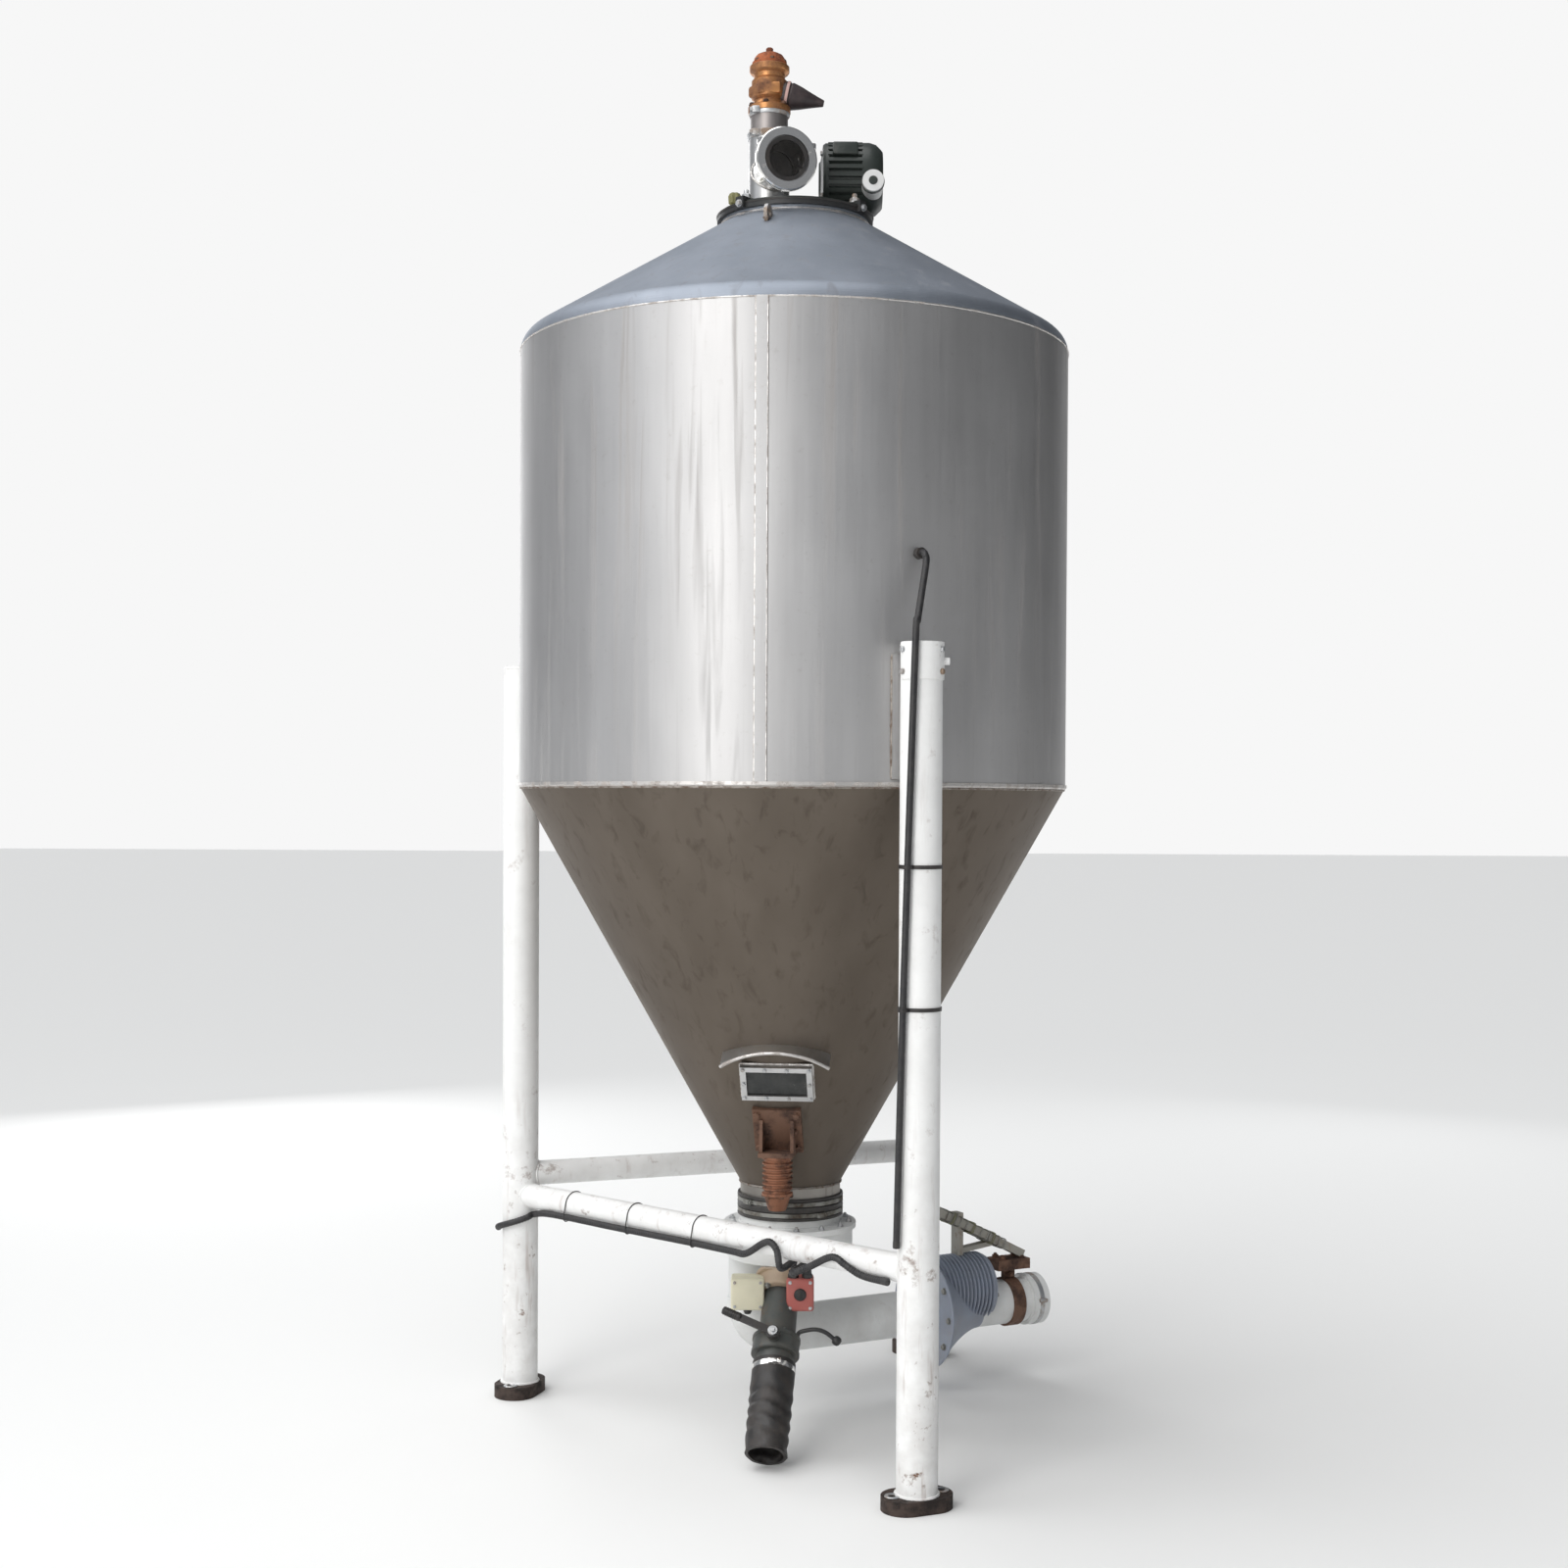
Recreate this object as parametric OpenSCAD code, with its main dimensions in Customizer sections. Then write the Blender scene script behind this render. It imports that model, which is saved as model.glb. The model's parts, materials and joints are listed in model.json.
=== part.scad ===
// Powder silo: a welded sheet tank on three tube legs, with a filling head on its roof and, under its
// hopper, an outlet box with a conveying line, a blower and a bagging spout. Millimetres, +Z up.
// The floor is Z = 0 and the origin is the centre of the plan. The front looks along -Y.
// An azimuth is measured round the tank's axis from the front, positive to the right.

/* [Tank] */
// Outer diameter of the tank
body_d = 1300; // [1000:10:1600]
// Height of the straight shell
body_h = 1045; // [700:5:1500]
// Thickness of the tank's sheet
sheet = 4; // [3:0.5:6]
// Height of the shell's lower edge above the floor
shell_z = 1520; // [1460:10:1900]
// Height of the conical roof
roof_h = 288; // [200:4:400]
// Height of the conical hopper
hopper_h = 945; // [780:5:960]
// Outer diameter of the hopper's outlet
outlet_d = 240; // [200:5:270]
// Radius of the bend between shell and roof
knuckle_r = 45; // [20:5:60]

/* [Filling head] */
// Outer diameter of the collar on the roof
collar_d = 352; // [340:2:420]
// Height of the collar
collar_h = 10; // [8:1:40]
// Bore of the fill coupling
fill_bore_d = 86; // [60:1:88]
// Azimuth that the fill coupling faces
fill_az = 17; // [0:1:30]
// Diameter of the motor on the lid
motor_d = 176; // [140:2:180]

/* [Legs] */
// Outer diameter of a leg tube
leg_d = 88.9; // [76:0.1:102]
// Height of the legs' tops above the floor
leg_top_z = 1818; // [1700:2:2200]
// Distance between the shell and a leg tube
leg_gap = 12; // [10:1:20]
// Azimuth of the front leg
front_az = 22.4; // [15:0.2:30]
// Azimuth of the left leg
left_az = -106.9; // [-115:0.1:-95]
// Azimuth of the back leg
back_az = 150; // [142:1:160]
// Outer diameter of a brace tube
brace_d = 60.3; // [42:0.1:62]
// Height of the front brace above the floor
brace_z = 500; // [480:5:520]
// Length of a foot plate
foot_l = 158; // [154:2:220]
// Width of a foot plate
foot_w = 104; // [100:2:140]
// Diameter of an anchor hole
anchor_d = 18; // [12:1:20]

/* [Outlet] */
// Outer diameter of the outlet box
box_d = 300; // [290:2:330]
// Outer diameter of the conveying pipe
line_d = 112; // [80:2:114]
// Height of the conveying pipe's centre above the floor
line_z = 204; // [180:2:215]
// Azimuth that the conveying pipe leads to
line_az = 117.5; // [112:0.5:122]
// Length of the conveying pipe from the riser's axis to its end
line_l = 824; // [814:2:980]
// Outer diameter of the spout pipe
spout_d = 84; // [70:2:90]

/* [Hidden] */
$fn = 96;
e = 1; // overshoot of a cutting tool
root = 60; // how far a fitting on the hopper is drawn into it before it is trimmed to the sheet

// --- tank ------------------------------------------------------------------------------------------
body_r = body_d / 2;
shell_top_z = shell_z + body_h;
outlet_r = outlet_d / 2;
hopper_z = shell_z - hopper_h;
hopper_slope = hopper_h / (body_r - outlet_r);
hopper_deg = atan(hopper_slope);
hopper_t = sheet / sin(hopper_deg); // measured level
function hopper_r(z) = outlet_r + (z - hopper_z) / hopper_slope;

collar_r = collar_d / 2;
collar_z = shell_top_z + roof_h;
roof_deg = atan(roof_h / (body_r - collar_r));
roof_t = sheet / cos(roof_deg); // measured upright
knuckle_turn = 90 - roof_deg;
knuckle_z = shell_top_z - knuckle_r * tan(knuckle_turn / 2);
knuckle_steps = 8;
function knuckle(r) = [for (i = [0:knuckle_steps])
    [body_r - knuckle_r + r * cos(i * knuckle_turn / knuckle_steps),
     knuckle_z + r * sin(i * knuckle_turn / knuckle_steps)]];
function roof_z(r) = shell_top_z + (body_r - r) * roof_h / (body_r - collar_r);

ring_out = 3;
ring_under = 6;
ring_over = 6;
seam_az = -6;
seam_w = 24;
seam_t = 2.5;
eye_az = -15;
eye_r = 26;
eye_t = 8;
eye_from = 60; // between the collar and the eye's centre
eye_lift = 6;

// --- filling head ----------------------------------------------------------------------------------
collar_t = 5;
collar_drop = 10; // how far the collar reaches below the roof's upper edge
flange_out = 10;
flange_in = 30;
flange_t = 12;
flange_z = collar_z + collar_h;
lid_z = flange_z + flange_t;
lid_t = 6;
lid_r = collar_r + flange_out - 4;
head_z = lid_z + lid_t;

clamp_azs = [-42, 55, 138, 222];
clamp_w = 24;
clamp_t = 8;
clamp_hook = 8;
clamp_reach = 34;
knob_azs = [-68, 165, 195];
knob_d = 32;
knob_h = 40;
knob_at = collar_r - 22;

stack_at = [-62, -60];
tee_r = 48;
tee_h = 170;
tee_t = 5;
vent_r = 44;
vent_h = 54;
relief_r = 50;
relief_h = 112;
relief_foot_h = 18;
relief_rim_h = 16;
relief_waist = 8; // the body is so much slimmer than its foot
relief_rim_in = 3;
bonnet_r = 41;
bonnet_h = 30;
bonnet_skirt_h = 18;
bonnet_taper = 0.55;
bonnet_nut_r = 9;
bonnet_nut_h = 14;
vent_z = head_z + tee_h;
relief_z = vent_z + vent_h;
bonnet_z = relief_z + relief_h;
branch_z = relief_z + relief_h * 0.62;
branch_r = 32;
branch_l = 112; // from the relief valve's axis
branch_dip = 12;
horn_l = 58;
horn_out = 20;
horn_tip_r = 8;

fill_t = 4;
fill_r = fill_bore_d / 2 + fill_t;
fill_l = 148; // from the tee's axis
fill_ring_out = 26;
fill_z = head_z + fill_r + fill_ring_out + 7;
fill_ring_l = 16;

motor_r = motor_d / 2;
motor_from = 56;
motor_l = 116;
motor_y = 16;
motor_foot_h = 4;
motor_foot_w = 100;
motor_foot_in = 10;
motor_foot_short = 30;
motor_z = head_z + motor_foot_h + motor_r;
cowl_l = 36;
cowl_end = 0.74;
cap_at = [182, motor_z - 37];
cap_r = 25;
cap_l = 46;

// --- legs ------------------------------------------------------------------------------------------
leg_r = leg_d / 2;
leg_t = 5;
leg_ring = body_r + leg_gap + leg_r; // distance of a leg's centre from the tank's axis
leg_cap_t = 6;
foot_t = 30;
foot_end_r = foot_w / 2;
foot_half = (foot_l - foot_w) / 2;
anchor_at = leg_r + anchor_d / 2 + 3;
function on_ring(az, r) = [r * sin(az), -r * cos(az)];
function at_z(p, z) = [p.x, p.y, z];
leg_azs = [front_az, left_az, back_az];
leg_front_at = on_ring(front_az, leg_ring);
leg_left_at = on_ring(left_az, leg_ring);
leg_back_at = on_ring(back_az, leg_ring);

saddle_fn = 384; // facets round the tank where a thin saddle lies on it
pad_w = 84;
pad_t = 6;
web_w = 40;
saddle_z = shell_z + ring_over + 6;
saddle_top_z = leg_top_z - 22;
sleeve_h = 78;
sleeve_wall = 3;
sleeve_bolt_d = 16;
sleeve_bolt_l = 14;

brace_r = brace_d / 2;
brace_t = 4;
brace_step = 50; // braces that share a leg are this far apart in height
back_brace_z = brace_z + brace_step;
side_brace_z = brace_z - brace_step;

// --- window and vibrator on the hopper -------------------------------------------------------------
window_az = -6.5;
window_z = 848;
window_w = 138;
window_l = 66; // along the slope
frame_w = 13;
frame_out = 14;
glass_t = 5;
hood_z = window_z + 54;
hood_half = 124;
hood_rise = 40;
hood_t = 7;
hood_out = 30;
hood_r = (hood_half * hood_half + hood_rise * hood_rise) / (2 * hood_rise);
hood_turn = asin(hood_half / hood_r);

vib_az = -8;
vib_plate_w = 112;
vib_plate_l = 120;
vib_plate_t = 8;
vib_plate_z = 728;
vib_r = 36;
vib_top_z = 668;
vib_h = 92;
vib_shelf_t = 10;
vib_at = hopper_r(vib_top_z) + vib_r + 6;
vib_cap_r = 30;
vib_cap_h = 34;
vib_cap_taper = 0.7;
vib_waist = 5;
vib_rim_t = 8;
vib_cheek_t = 8;
vib_cheek_h = 84;
vib_cheek_in = 14;
vib_side = 4; // between the vibrator and the outside of a cheek

// --- outlet ----------------------------------------------------------------------------------------
neck_l = 62;
neck_z = hopper_z - neck_l;
band_t = 7;
band_l = 52;
band_up = 10; // the band sits so much more on the neck than on the box
box_r = box_d / 2;
box_h = 82;
box_t = 4;
spigot_l = 35;
box_top_z = neck_z - spigot_l;
box_z = box_top_z - box_h;
rim_out = 8;
rim_t = 12;

line_r = line_d / 2;
line_t = 5;
riser_at = box_r - line_r - 2;
riser_az = -93;
line_from = on_ring(riser_az, riser_at);
line_dir = [sin(line_az), -cos(line_az)];
riser_bend = 74;
cuff_l = 26; // welding cuffs at the bend's two ends
cuff_t = 4;
end_l = 46;
end_out = 9;

bell_from = 482;
bell_l = 145;
bell_r = 142;
bell_steps = 8;
motor2_from = 506;
motor2_l = 150;
motor2_r = 86;
motor2_rise = 50;
fin_n = 7;
fin_out = 8;
fin_w = 7;

bracket_from = 452;
bracket_to = 770;
bracket_w = 44;
bracket_h = 20;
post_at = 582;
post_l = 16;
hanger_at = 736;
hanger_w = 34;
hanger_t = 6;
block_l = 96;
block_w = 60;
block_h = 26;
block_z = 316;
bar_over = 24; // the bracket starts so far behind the brace
bar_lift = 10;
post_drop = 44;
strut_in = 90;
strut_rise = 34;

spout_from = [-14, -96, box_z];
spout_to = [-52, -412, 34];
spout_r = spout_d / 2;
spout_t = 4;
spout_run = spout_to - spout_from;
spout_l = norm(spout_run);
valve_at = 34;
valve_l = 52;
valve_r = spout_r + 20;
gate_at = 196;
gate_l = 46;
gate_r = spout_r + 12;
pipe_end = 306; // where the steel spout pipe ends, along the spout
sock_at = 262;
sock_t = 8;

stem_at = gate_at + gate_l / 2;
stem_r = 6;
stem_play = 0.08;
boss_r = 13;
boss_out = 10;
hub_r = 15;
hub_h = 14;
hub_gap = 0.4;
stem_cap_h = 5;
boss_top = gate_r + boss_out;
hub_from = boss_top + hub_gap;
stem_top = hub_from + hub_h + hub_gap;
lever_l = 128;
lever_w = 16;
lever_h = 8;
lever_deg = 23;
grip_l = 44;
grip_r = 9;

cream_size = [78, 62, 74];
cream_at = [-98, -158, 340];
red_size = [64, 62, 76];
red_at = [24, -180, 344];

rod_r = 5;
rod_knob_r = 11;
rod_knob_l = 18;
spout_dir = spout_run / spout_l;
spout_right = [-spout_run.y, spout_run.x, 0] / norm([spout_run.x, spout_run.y]);
rod_foot = spout_from + gate_at * spout_dir + (spout_r + 6) * spout_right;
rod_path = [rod_foot, rod_foot - 10 * spout_dir, rod_foot - 18 * spout_dir + [8, 0, 0],
            rod_foot + [40, 6, 20], rod_foot + [64, 4, 14], rod_foot + [84, 0, 0]];

// --- cables ----------------------------------------------------------------------------------------
cable_r = 7.5;
gland_az = 24;
gland_z = 2010;
gland_r = 12;
gland_l = 16;
cable_gap = 4; // between the cable and its leg, for the ties
tie_w = 8;
tie_t = 2;
tie_gap = 0.8;
tie_zs = [1048, 1345];
cable_turn = [-16, -58]; // the cable's place round the leg at its top and at its lower end
cable_top_z = leg_top_z + 20;
cable_foot_z = brace_z + brace_r + 24;
cable_steps = 5;
hose_r = 8;
hose_gap = 2;
hose_wrap = [45, -90]; // where the hose leaves the brace and where it ends, round the left leg
hose_wrap_step = 15;
hose_sink = 16; // and by so much where it leaves the brace
hose_drop = 40; // by so much it falls on its way round the leg
hose_end_l = 30; // its upright stretch over the valve's drive
cord_sides = 10;
cord_side = [0.35, 0.9, 0.26]; // no stretch of a cord runs this way

// --- place of the tank's axis in the plan -------------------------------------------------------------
function foot_reach(turn) = foot_end_r + foot_half * abs(turn);
plan_lo = [leg_left_at.x - foot_reach(cos(left_az)), leg_front_at.y - foot_reach(sin(front_az))];
plan_hi = [max((line_from + line_l * line_dir).x + (line_r + end_out) * abs(line_dir.y), body_r + ring_out),
           leg_back_at.y + foot_reach(sin(back_az))];
tank_at = [-(plan_lo.x + plan_hi.x) / 2, -(plan_lo.y + plan_hi.y) / 2, 0];

// --- colours -----------------------------------------------------------------------------------------
steel = [0.66, 0.67, 0.70];
dull_steel = [0.45, 0.43, 0.40];
white_paint = [0.93, 0.93, 0.90];
dark_paint = [0.10, 0.12, 0.11];
black = [0.05, 0.05, 0.05];
chrome_grey = [0.78, 0.78, 0.78];
brass = [0.71, 0.42, 0.20];
rust = [0.40, 0.24, 0.17];
blue_grey = [0.45, 0.48, 0.55];

// --- shapes that repeat ------------------------------------------------------------------------------

// A straight tube on the Z axis.
module tube(r, t, h) {
    difference() {
        cylinder(r = r, h = h);
        translate([0, 0, -e]) cylinder(r = r - t, h = h + 2 * e);
    }
}

// A plate with round ends along X.
module oblong(half, end_r, h) {
    translate([-half, -end_r, 0]) cube([2 * half, 2 * end_r, h]);
    for (side = [-1, 1]) translate([side * half, 0, 0]) cylinder(r = end_r, h = h);
}

// Turns children so that their +Z runs from one point to another.
module along(from, to) {
    run = to - from;
    translate(from) rotate([0, acos(run.z / norm(run)), atan2(run.y, run.x)]) children();
}

// A cord of one thickness through a list of points, as rings square to its run.
module cord(path, r) {
    last = len(path) - 1;
    function run_at(i) = path[min(i + 1, last)] - path[max(i - 1, 0)];
    function ring(i) = let (t = run_at(i) / norm(run_at(i)),
                            u = cross(t, cord_side) / norm(cross(t, cord_side)))
        [for (k = [0:cord_sides - 1]) let (a = 360 * k / cord_sides)
            path[i] + r * (cos(a) * u + sin(a) * cross(t, u))];
    function id(i, k) = i * cord_sides + k % cord_sides;
    polyhedron(
        points = [for (i = [0:last]) each ring(i)],
        faces = concat(
            [[for (k = [0:cord_sides - 1]) id(0, k)]],
            [for (i = [0:last - 1], k = [0:cord_sides - 1]) each
                [[id(i, k), id(i + 1, k), id(i, k + 1)], [id(i, k + 1), id(i + 1, k), id(i + 1, k + 1)]]],
            [[for (k = [cord_sides - 1:-1:0]) id(last, k)]]));
}

// Puts children at an azimuth and a distance from the tank's axis, with -Y outward.
module at_az(az, r, z = 0) {
    translate(at_z(on_ring(az, r), z)) rotate([0, 0, az]) children();
}

// Puts children on the hopper's outside, with -Y square to the sheet and +Z up the slope.
module on_hopper(az, z) {
    at_az(az, hopper_r(z), z) rotate([90 - hopper_deg, 0, 0]) children();
}

// Puts children on the conveying line's centre, with +X along it.
module on_line(s, rise = 0) {
    translate(at_z(line_from, line_z + rise)) rotate([0, 0, line_az - 90]) translate([s, 0, 0]) children();
}

// Puts children on the spout's centre, with +Z down it, +Y to the right and -X to the front.
module on_spout(s) {
    along(spout_from, spout_to) translate([0, 0, s]) children();
}

module hopper_solid() {
    translate([0, 0, hopper_z]) cylinder(r1 = outlet_r, r2 = body_r, h = hopper_h);
}

module leg_solid(at, z, h) {
    translate(at_z(at, z)) cylinder(r = leg_r, h = h);
}

// --- tank --------------------------------------------------------------------------------------------

module shell_cylinder() {
    color(steel) translate(tank_at) translate([0, 0, shell_z]) tube(body_r, sheet, knuckle_z - shell_z);
}

module roof_cone() {
    outside = knuckle(knuckle_r);
    inside = knuckle(knuckle_r - sheet);
    upper = [[collar_r, collar_z], [collar_r, collar_z - roof_t]];
    color(steel) translate(tank_at)
        rotate_extrude() polygon(concat(outside, upper, [for (i = [knuckle_steps:-1:0]) inside[i]]));
}

module hopper_cone() {
    color(dull_steel) translate(tank_at) difference() {
        rotate_extrude() polygon([
            [body_r, shell_z], [body_r - hopper_t, shell_z],
            [outlet_r - hopper_t, hopper_z], [outlet_r, hopper_z]]);
        on_hopper(window_az, window_z)
            translate([-window_w / 2, -frame_out, -window_l / 2]) cube([window_w, root, window_l]);
    }
}

module hopper_ring() {
    color(chrome_grey) translate(tank_at) rotate_extrude() polygon([
        [body_r, shell_z + ring_over], [body_r, shell_z],
        [hopper_r(shell_z - ring_under), shell_z - ring_under],
        [body_r + ring_out, shell_z - 1], [body_r + ring_out, shell_z + ring_over]]);
}

module shell_seam() {
    turn = seam_w / body_r * 180 / PI;
    color(chrome_grey) translate(tank_at) translate([0, 0, shell_z + ring_over])
        rotate([0, 0, seam_az - 90 - turn / 2]) rotate_extrude(angle = turn)
            translate([body_r, 0]) square([seam_t, knuckle_z - shell_z - ring_over]);
}

module roof_eye() {
    r = collar_r + eye_from;
    color(dull_steel) translate(tank_at) difference() {
        at_az(eye_az, r, roof_z(r) + eye_lift) rotate([0, 90, 0]) translate([0, 0, -eye_t / 2]) difference() {
            cylinder(r = eye_r, h = eye_t, $fn = 48);
            translate([-4, 0, -e]) cylinder(r = eye_r / 3, h = eye_t + 2 * e, $fn = 32);
        }
        translate([0, 0, shell_top_z]) cylinder(r1 = body_r, r2 = collar_r, h = roof_h);
    }
}

// --- filling head ------------------------------------------------------------------------------------

module roof_collar() {
    color(steel) translate(tank_at) translate([0, 0, collar_z - collar_drop])
        tube(collar_r, collar_t, collar_h + collar_drop);
}

module manway_flange() {
    color(black) translate(tank_at) translate([0, 0, flange_z])
        tube(collar_r + flange_out, flange_out + flange_in, flange_t);
}

module manway_lid() {
    color(dark_paint) translate(tank_at) translate([0, 0, lid_z]) cylinder(r = lid_r, h = lid_t);
}

module lid_clamps() {
    reach = collar_r + flange_out;
    color(black) translate(tank_at) for (az = clamp_azs) at_az(az, 0, 0) difference() {
        union() {
            translate([-clamp_w / 2, -reach - clamp_t, flange_z])
                cube([clamp_w, clamp_t + clamp_hook, head_z - flange_z]);
            translate([-clamp_w / 2, -reach - clamp_t, head_z])
                cube([clamp_w, clamp_t + clamp_reach, clamp_t]);
        }
        translate([0, 0, flange_z - e]) cylinder(r = reach, h = head_z - flange_z + e);
    }
}

module lid_knobs() {
    color("olive") translate(tank_at) for (az = knob_azs)
        at_az(az, knob_at, head_z) cylinder(d = knob_d, h = knob_h, $fn = 32);
}

module on_stack(z) {
    translate(at_z(stack_at, z)) children();
}

module inlet_tee() {
    color(chrome_grey) translate(tank_at) difference() {
        on_stack(head_z) cylinder(r = tee_r, h = tee_h);
        on_stack(head_z + tee_t) cylinder(r = tee_r - tee_t, h = tee_h - 2 * tee_t);
        on_stack(fill_z) rotate([0, 0, fill_az]) rotate([90, 0, 0])
            cylinder(r = fill_bore_d / 2, h = tee_r + e);
    }
}

module fill_pipe() {
    color(chrome_grey) translate(tank_at) difference() {
        on_stack(fill_z) rotate([0, 0, fill_az]) rotate([90, 0, 0]) {
            tube(fill_r, fill_t, fill_l);
            translate([0, 0, fill_l - fill_ring_l]) tube(fill_r + fill_ring_out, fill_ring_out, fill_ring_l);
        }
        on_stack(head_z) cylinder(r = tee_r, h = tee_h);
    }
}

module vent_pipe() {
    color(steel) translate(tank_at) on_stack(vent_z) cylinder(r = vent_r, h = vent_h);
}

module relief_outline() {
    on_stack(relief_z) {
        cylinder(r = relief_r, h = relief_foot_h);
        cylinder(r = relief_r - relief_waist, h = relief_h);
        translate([0, 0, relief_h - relief_rim_h]) cylinder(r = relief_r - relief_rim_in, h = relief_rim_h);
    }
}

module relief_valve() {
    color(brass) translate(tank_at) relief_outline();
}

module relief_bonnet() {
    color(rust) translate(tank_at) on_stack(bonnet_z) {
        cylinder(r = bonnet_r, h = bonnet_skirt_h);
        translate([0, 0, bonnet_skirt_h])
            cylinder(r1 = bonnet_r, r2 = bonnet_r * bonnet_taper, h = bonnet_h - bonnet_skirt_h);
        translate([0, 0, bonnet_h]) cylinder(r = bonnet_nut_r, h = bonnet_nut_h, $fn = 6);
    }
}

module relief_horn() {
    color(black) translate(tank_at) difference() {
        on_stack(branch_z) rotate([0, 90 + branch_dip, 0]) {
            cylinder(r = branch_r, h = branch_l - horn_l);
            translate([0, 0, branch_l - horn_l])
                cylinder(r1 = branch_r, r2 = horn_tip_r, h = horn_l + horn_out);
        }
        relief_outline();
    }
}

module motor_outline() {
    translate([motor_from, motor_y, motor_z]) rotate([0, 90, 0]) {
        cylinder(r = motor_r, h = motor_l);
        translate([0, 0, motor_l]) cylinder(r1 = motor_r, r2 = cowl_end * motor_r, h = cowl_l);
    }
}

module head_motor() {
    color(dark_paint) translate(tank_at) {
        motor_outline();
        translate([motor_from + motor_foot_in, motor_y - motor_foot_w / 2, head_z])
            cube([motor_l - motor_foot_short, motor_foot_w, motor_r / 2]);
    }
}

module motor_cap() {
    color(white_paint) translate(tank_at) difference() {
        translate([cap_at.x, motor_y - motor_r * 0.5, cap_at.y]) rotate([90, 0, 0])
            cylinder(r = cap_r, h = motor_r * 0.5 + cap_l);
        motor_outline();
    }
}

// --- legs --------------------------------------------------------------------------------------------

module leg(at) {
    translate(at_z(at, foot_t)) difference() {
        cylinder(r = leg_r, h = leg_top_z - foot_t);
        translate([0, 0, -e]) cylinder(r = leg_r - leg_t, h = leg_top_z - foot_t - leg_cap_t + e);
    }
}

module leg_front() {
    color(white_paint) translate(tank_at) leg(leg_front_at);
}

module leg_left() {
    color(white_paint) translate(tank_at) leg(leg_left_at);
}

module leg_back() {
    color(white_paint) translate(tank_at) leg(leg_back_at);
}

module front_leg_sleeve() {
    color(white_paint) translate(tank_at) difference() {
        translate(at_z(leg_front_at, leg_top_z - sleeve_h)) union() {
            tube(leg_r + sleeve_wall, sleeve_wall, sleeve_h);
            rotate([0, 90, 0]) translate([-sleeve_h / 2, 0, leg_r])
                cylinder(d = sleeve_bolt_d, h = sleeve_bolt_l, $fn = 32);
        }
        at_az(front_az, leg_ring, leg_top_z - sleeve_h - e)
            translate([-leg_r - 10, 0, 0]) cube([2 * leg_r + 20, leg_r + 10, sleeve_h + 2 * e]);
        leg_solid(leg_front_at, leg_top_z - sleeve_h - e, sleeve_h + 2 * e);
    }
}

module leg_saddles() {
    turn = pad_w / body_r * 180 / PI;
    h = saddle_top_z - saddle_z;
    color(dull_steel) translate(tank_at) for (az = leg_azs) difference() {
        union() {
            translate([0, 0, saddle_z]) rotate([0, 0, az - 90 - turn / 2])
                rotate_extrude(angle = turn, $fn = saddle_fn) translate([body_r, 0]) square([pad_t, h]);
            at_az(az, body_r, saddle_z) translate([-web_w / 2, -leg_gap - leg_r, 0])
                cube([web_w, leg_gap + leg_r + 4, h]);
        }
        translate([0, 0, saddle_z - e]) cylinder(r = body_r, h = h + 2 * e, $fn = saddle_fn);
        leg_solid(on_ring(az, leg_ring), saddle_z - e, h + 2 * e);
    }
}

module foot_plates() {
    color(rust) translate(tank_at) for (az = leg_azs) at_az(az, leg_ring, 0) difference() {
        oblong(foot_half, foot_end_r, foot_t);
        for (side = [-1, 1]) translate([side * anchor_at, 0, -e])
            cylinder(d = anchor_d, h = foot_t + 2 * e, $fn = 48);
    }
}

module brace(from, to, z) {
    difference() {
        along(at_z(from, z), at_z(to, z)) tube(brace_r, brace_t, norm(to - from));
        for (at = [from, to]) leg_solid(at, z - 2 * brace_r, 4 * brace_r);
    }
}

module brace_front() {
    color(white_paint) translate(tank_at) brace(leg_left_at, leg_front_at, brace_z);
}

module brace_back() {
    color(white_paint) translate(tank_at) brace(leg_left_at, leg_back_at, back_brace_z);
}

module brace_side() {
    color(white_paint) translate(tank_at) brace(leg_front_at, leg_back_at, side_brace_z);
}

// --- window and vibrator on the hopper -----------------------------------------------------------------

module window_frame() {
    color(chrome_grey) translate(tank_at) difference() {
        on_hopper(window_az, window_z) difference() {
            translate([-window_w / 2 - frame_w, -frame_out, -window_l / 2 - frame_w])
                cube([window_w + 2 * frame_w, frame_out + root, window_l + 2 * frame_w]);
            translate([-window_w / 2, -frame_out - e, -window_l / 2])
                cube([window_w, frame_out + root + 2 * e, window_l]);
        }
        hopper_solid();
    }
}

module window_glass() {
    color([0.15, 0.17, 0.17]) translate(tank_at) on_hopper(window_az, window_z)
        translate([-window_w / 2, -frame_out + 4, -window_l / 2]) cube([window_w, glass_t, window_l]);
}

module window_hood() {
    color(chrome_grey) translate(tank_at) difference() {
        on_hopper(window_az, hood_z) translate([0, root, hood_rise - hood_r]) rotate([90, 0, 0])
            rotate([0, 0, 90 - hood_turn]) rotate_extrude(angle = 2 * hood_turn)
                translate([hood_r - hood_t, 0]) square([hood_t, hood_out + root]);
        hopper_solid();
    }
}

module vibrator_bracket() {
    color(rust) translate(tank_at) difference() {
        union() {
            on_hopper(vib_az, vib_plate_z) translate([-vib_plate_w / 2, -vib_plate_t, -vib_plate_l / 2])
                cube([vib_plate_w, vib_plate_t + root, vib_plate_l]);
            at_az(vib_az, vib_at, vib_top_z) {
                translate([-vib_r - vib_side, -vib_r - 2, 0])
                    cube([2 * (vib_r + vib_side), 2 * vib_r + root, vib_shelf_t]);
                for (x = [-vib_r - vib_side, vib_r + vib_side - vib_cheek_t])
                    translate([x, -vib_r + vib_cheek_in, 0])
                        cube([vib_cheek_t, 2 * vib_r + root, vib_cheek_h]);
            }
        }
        hopper_solid();
    }
}

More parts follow.
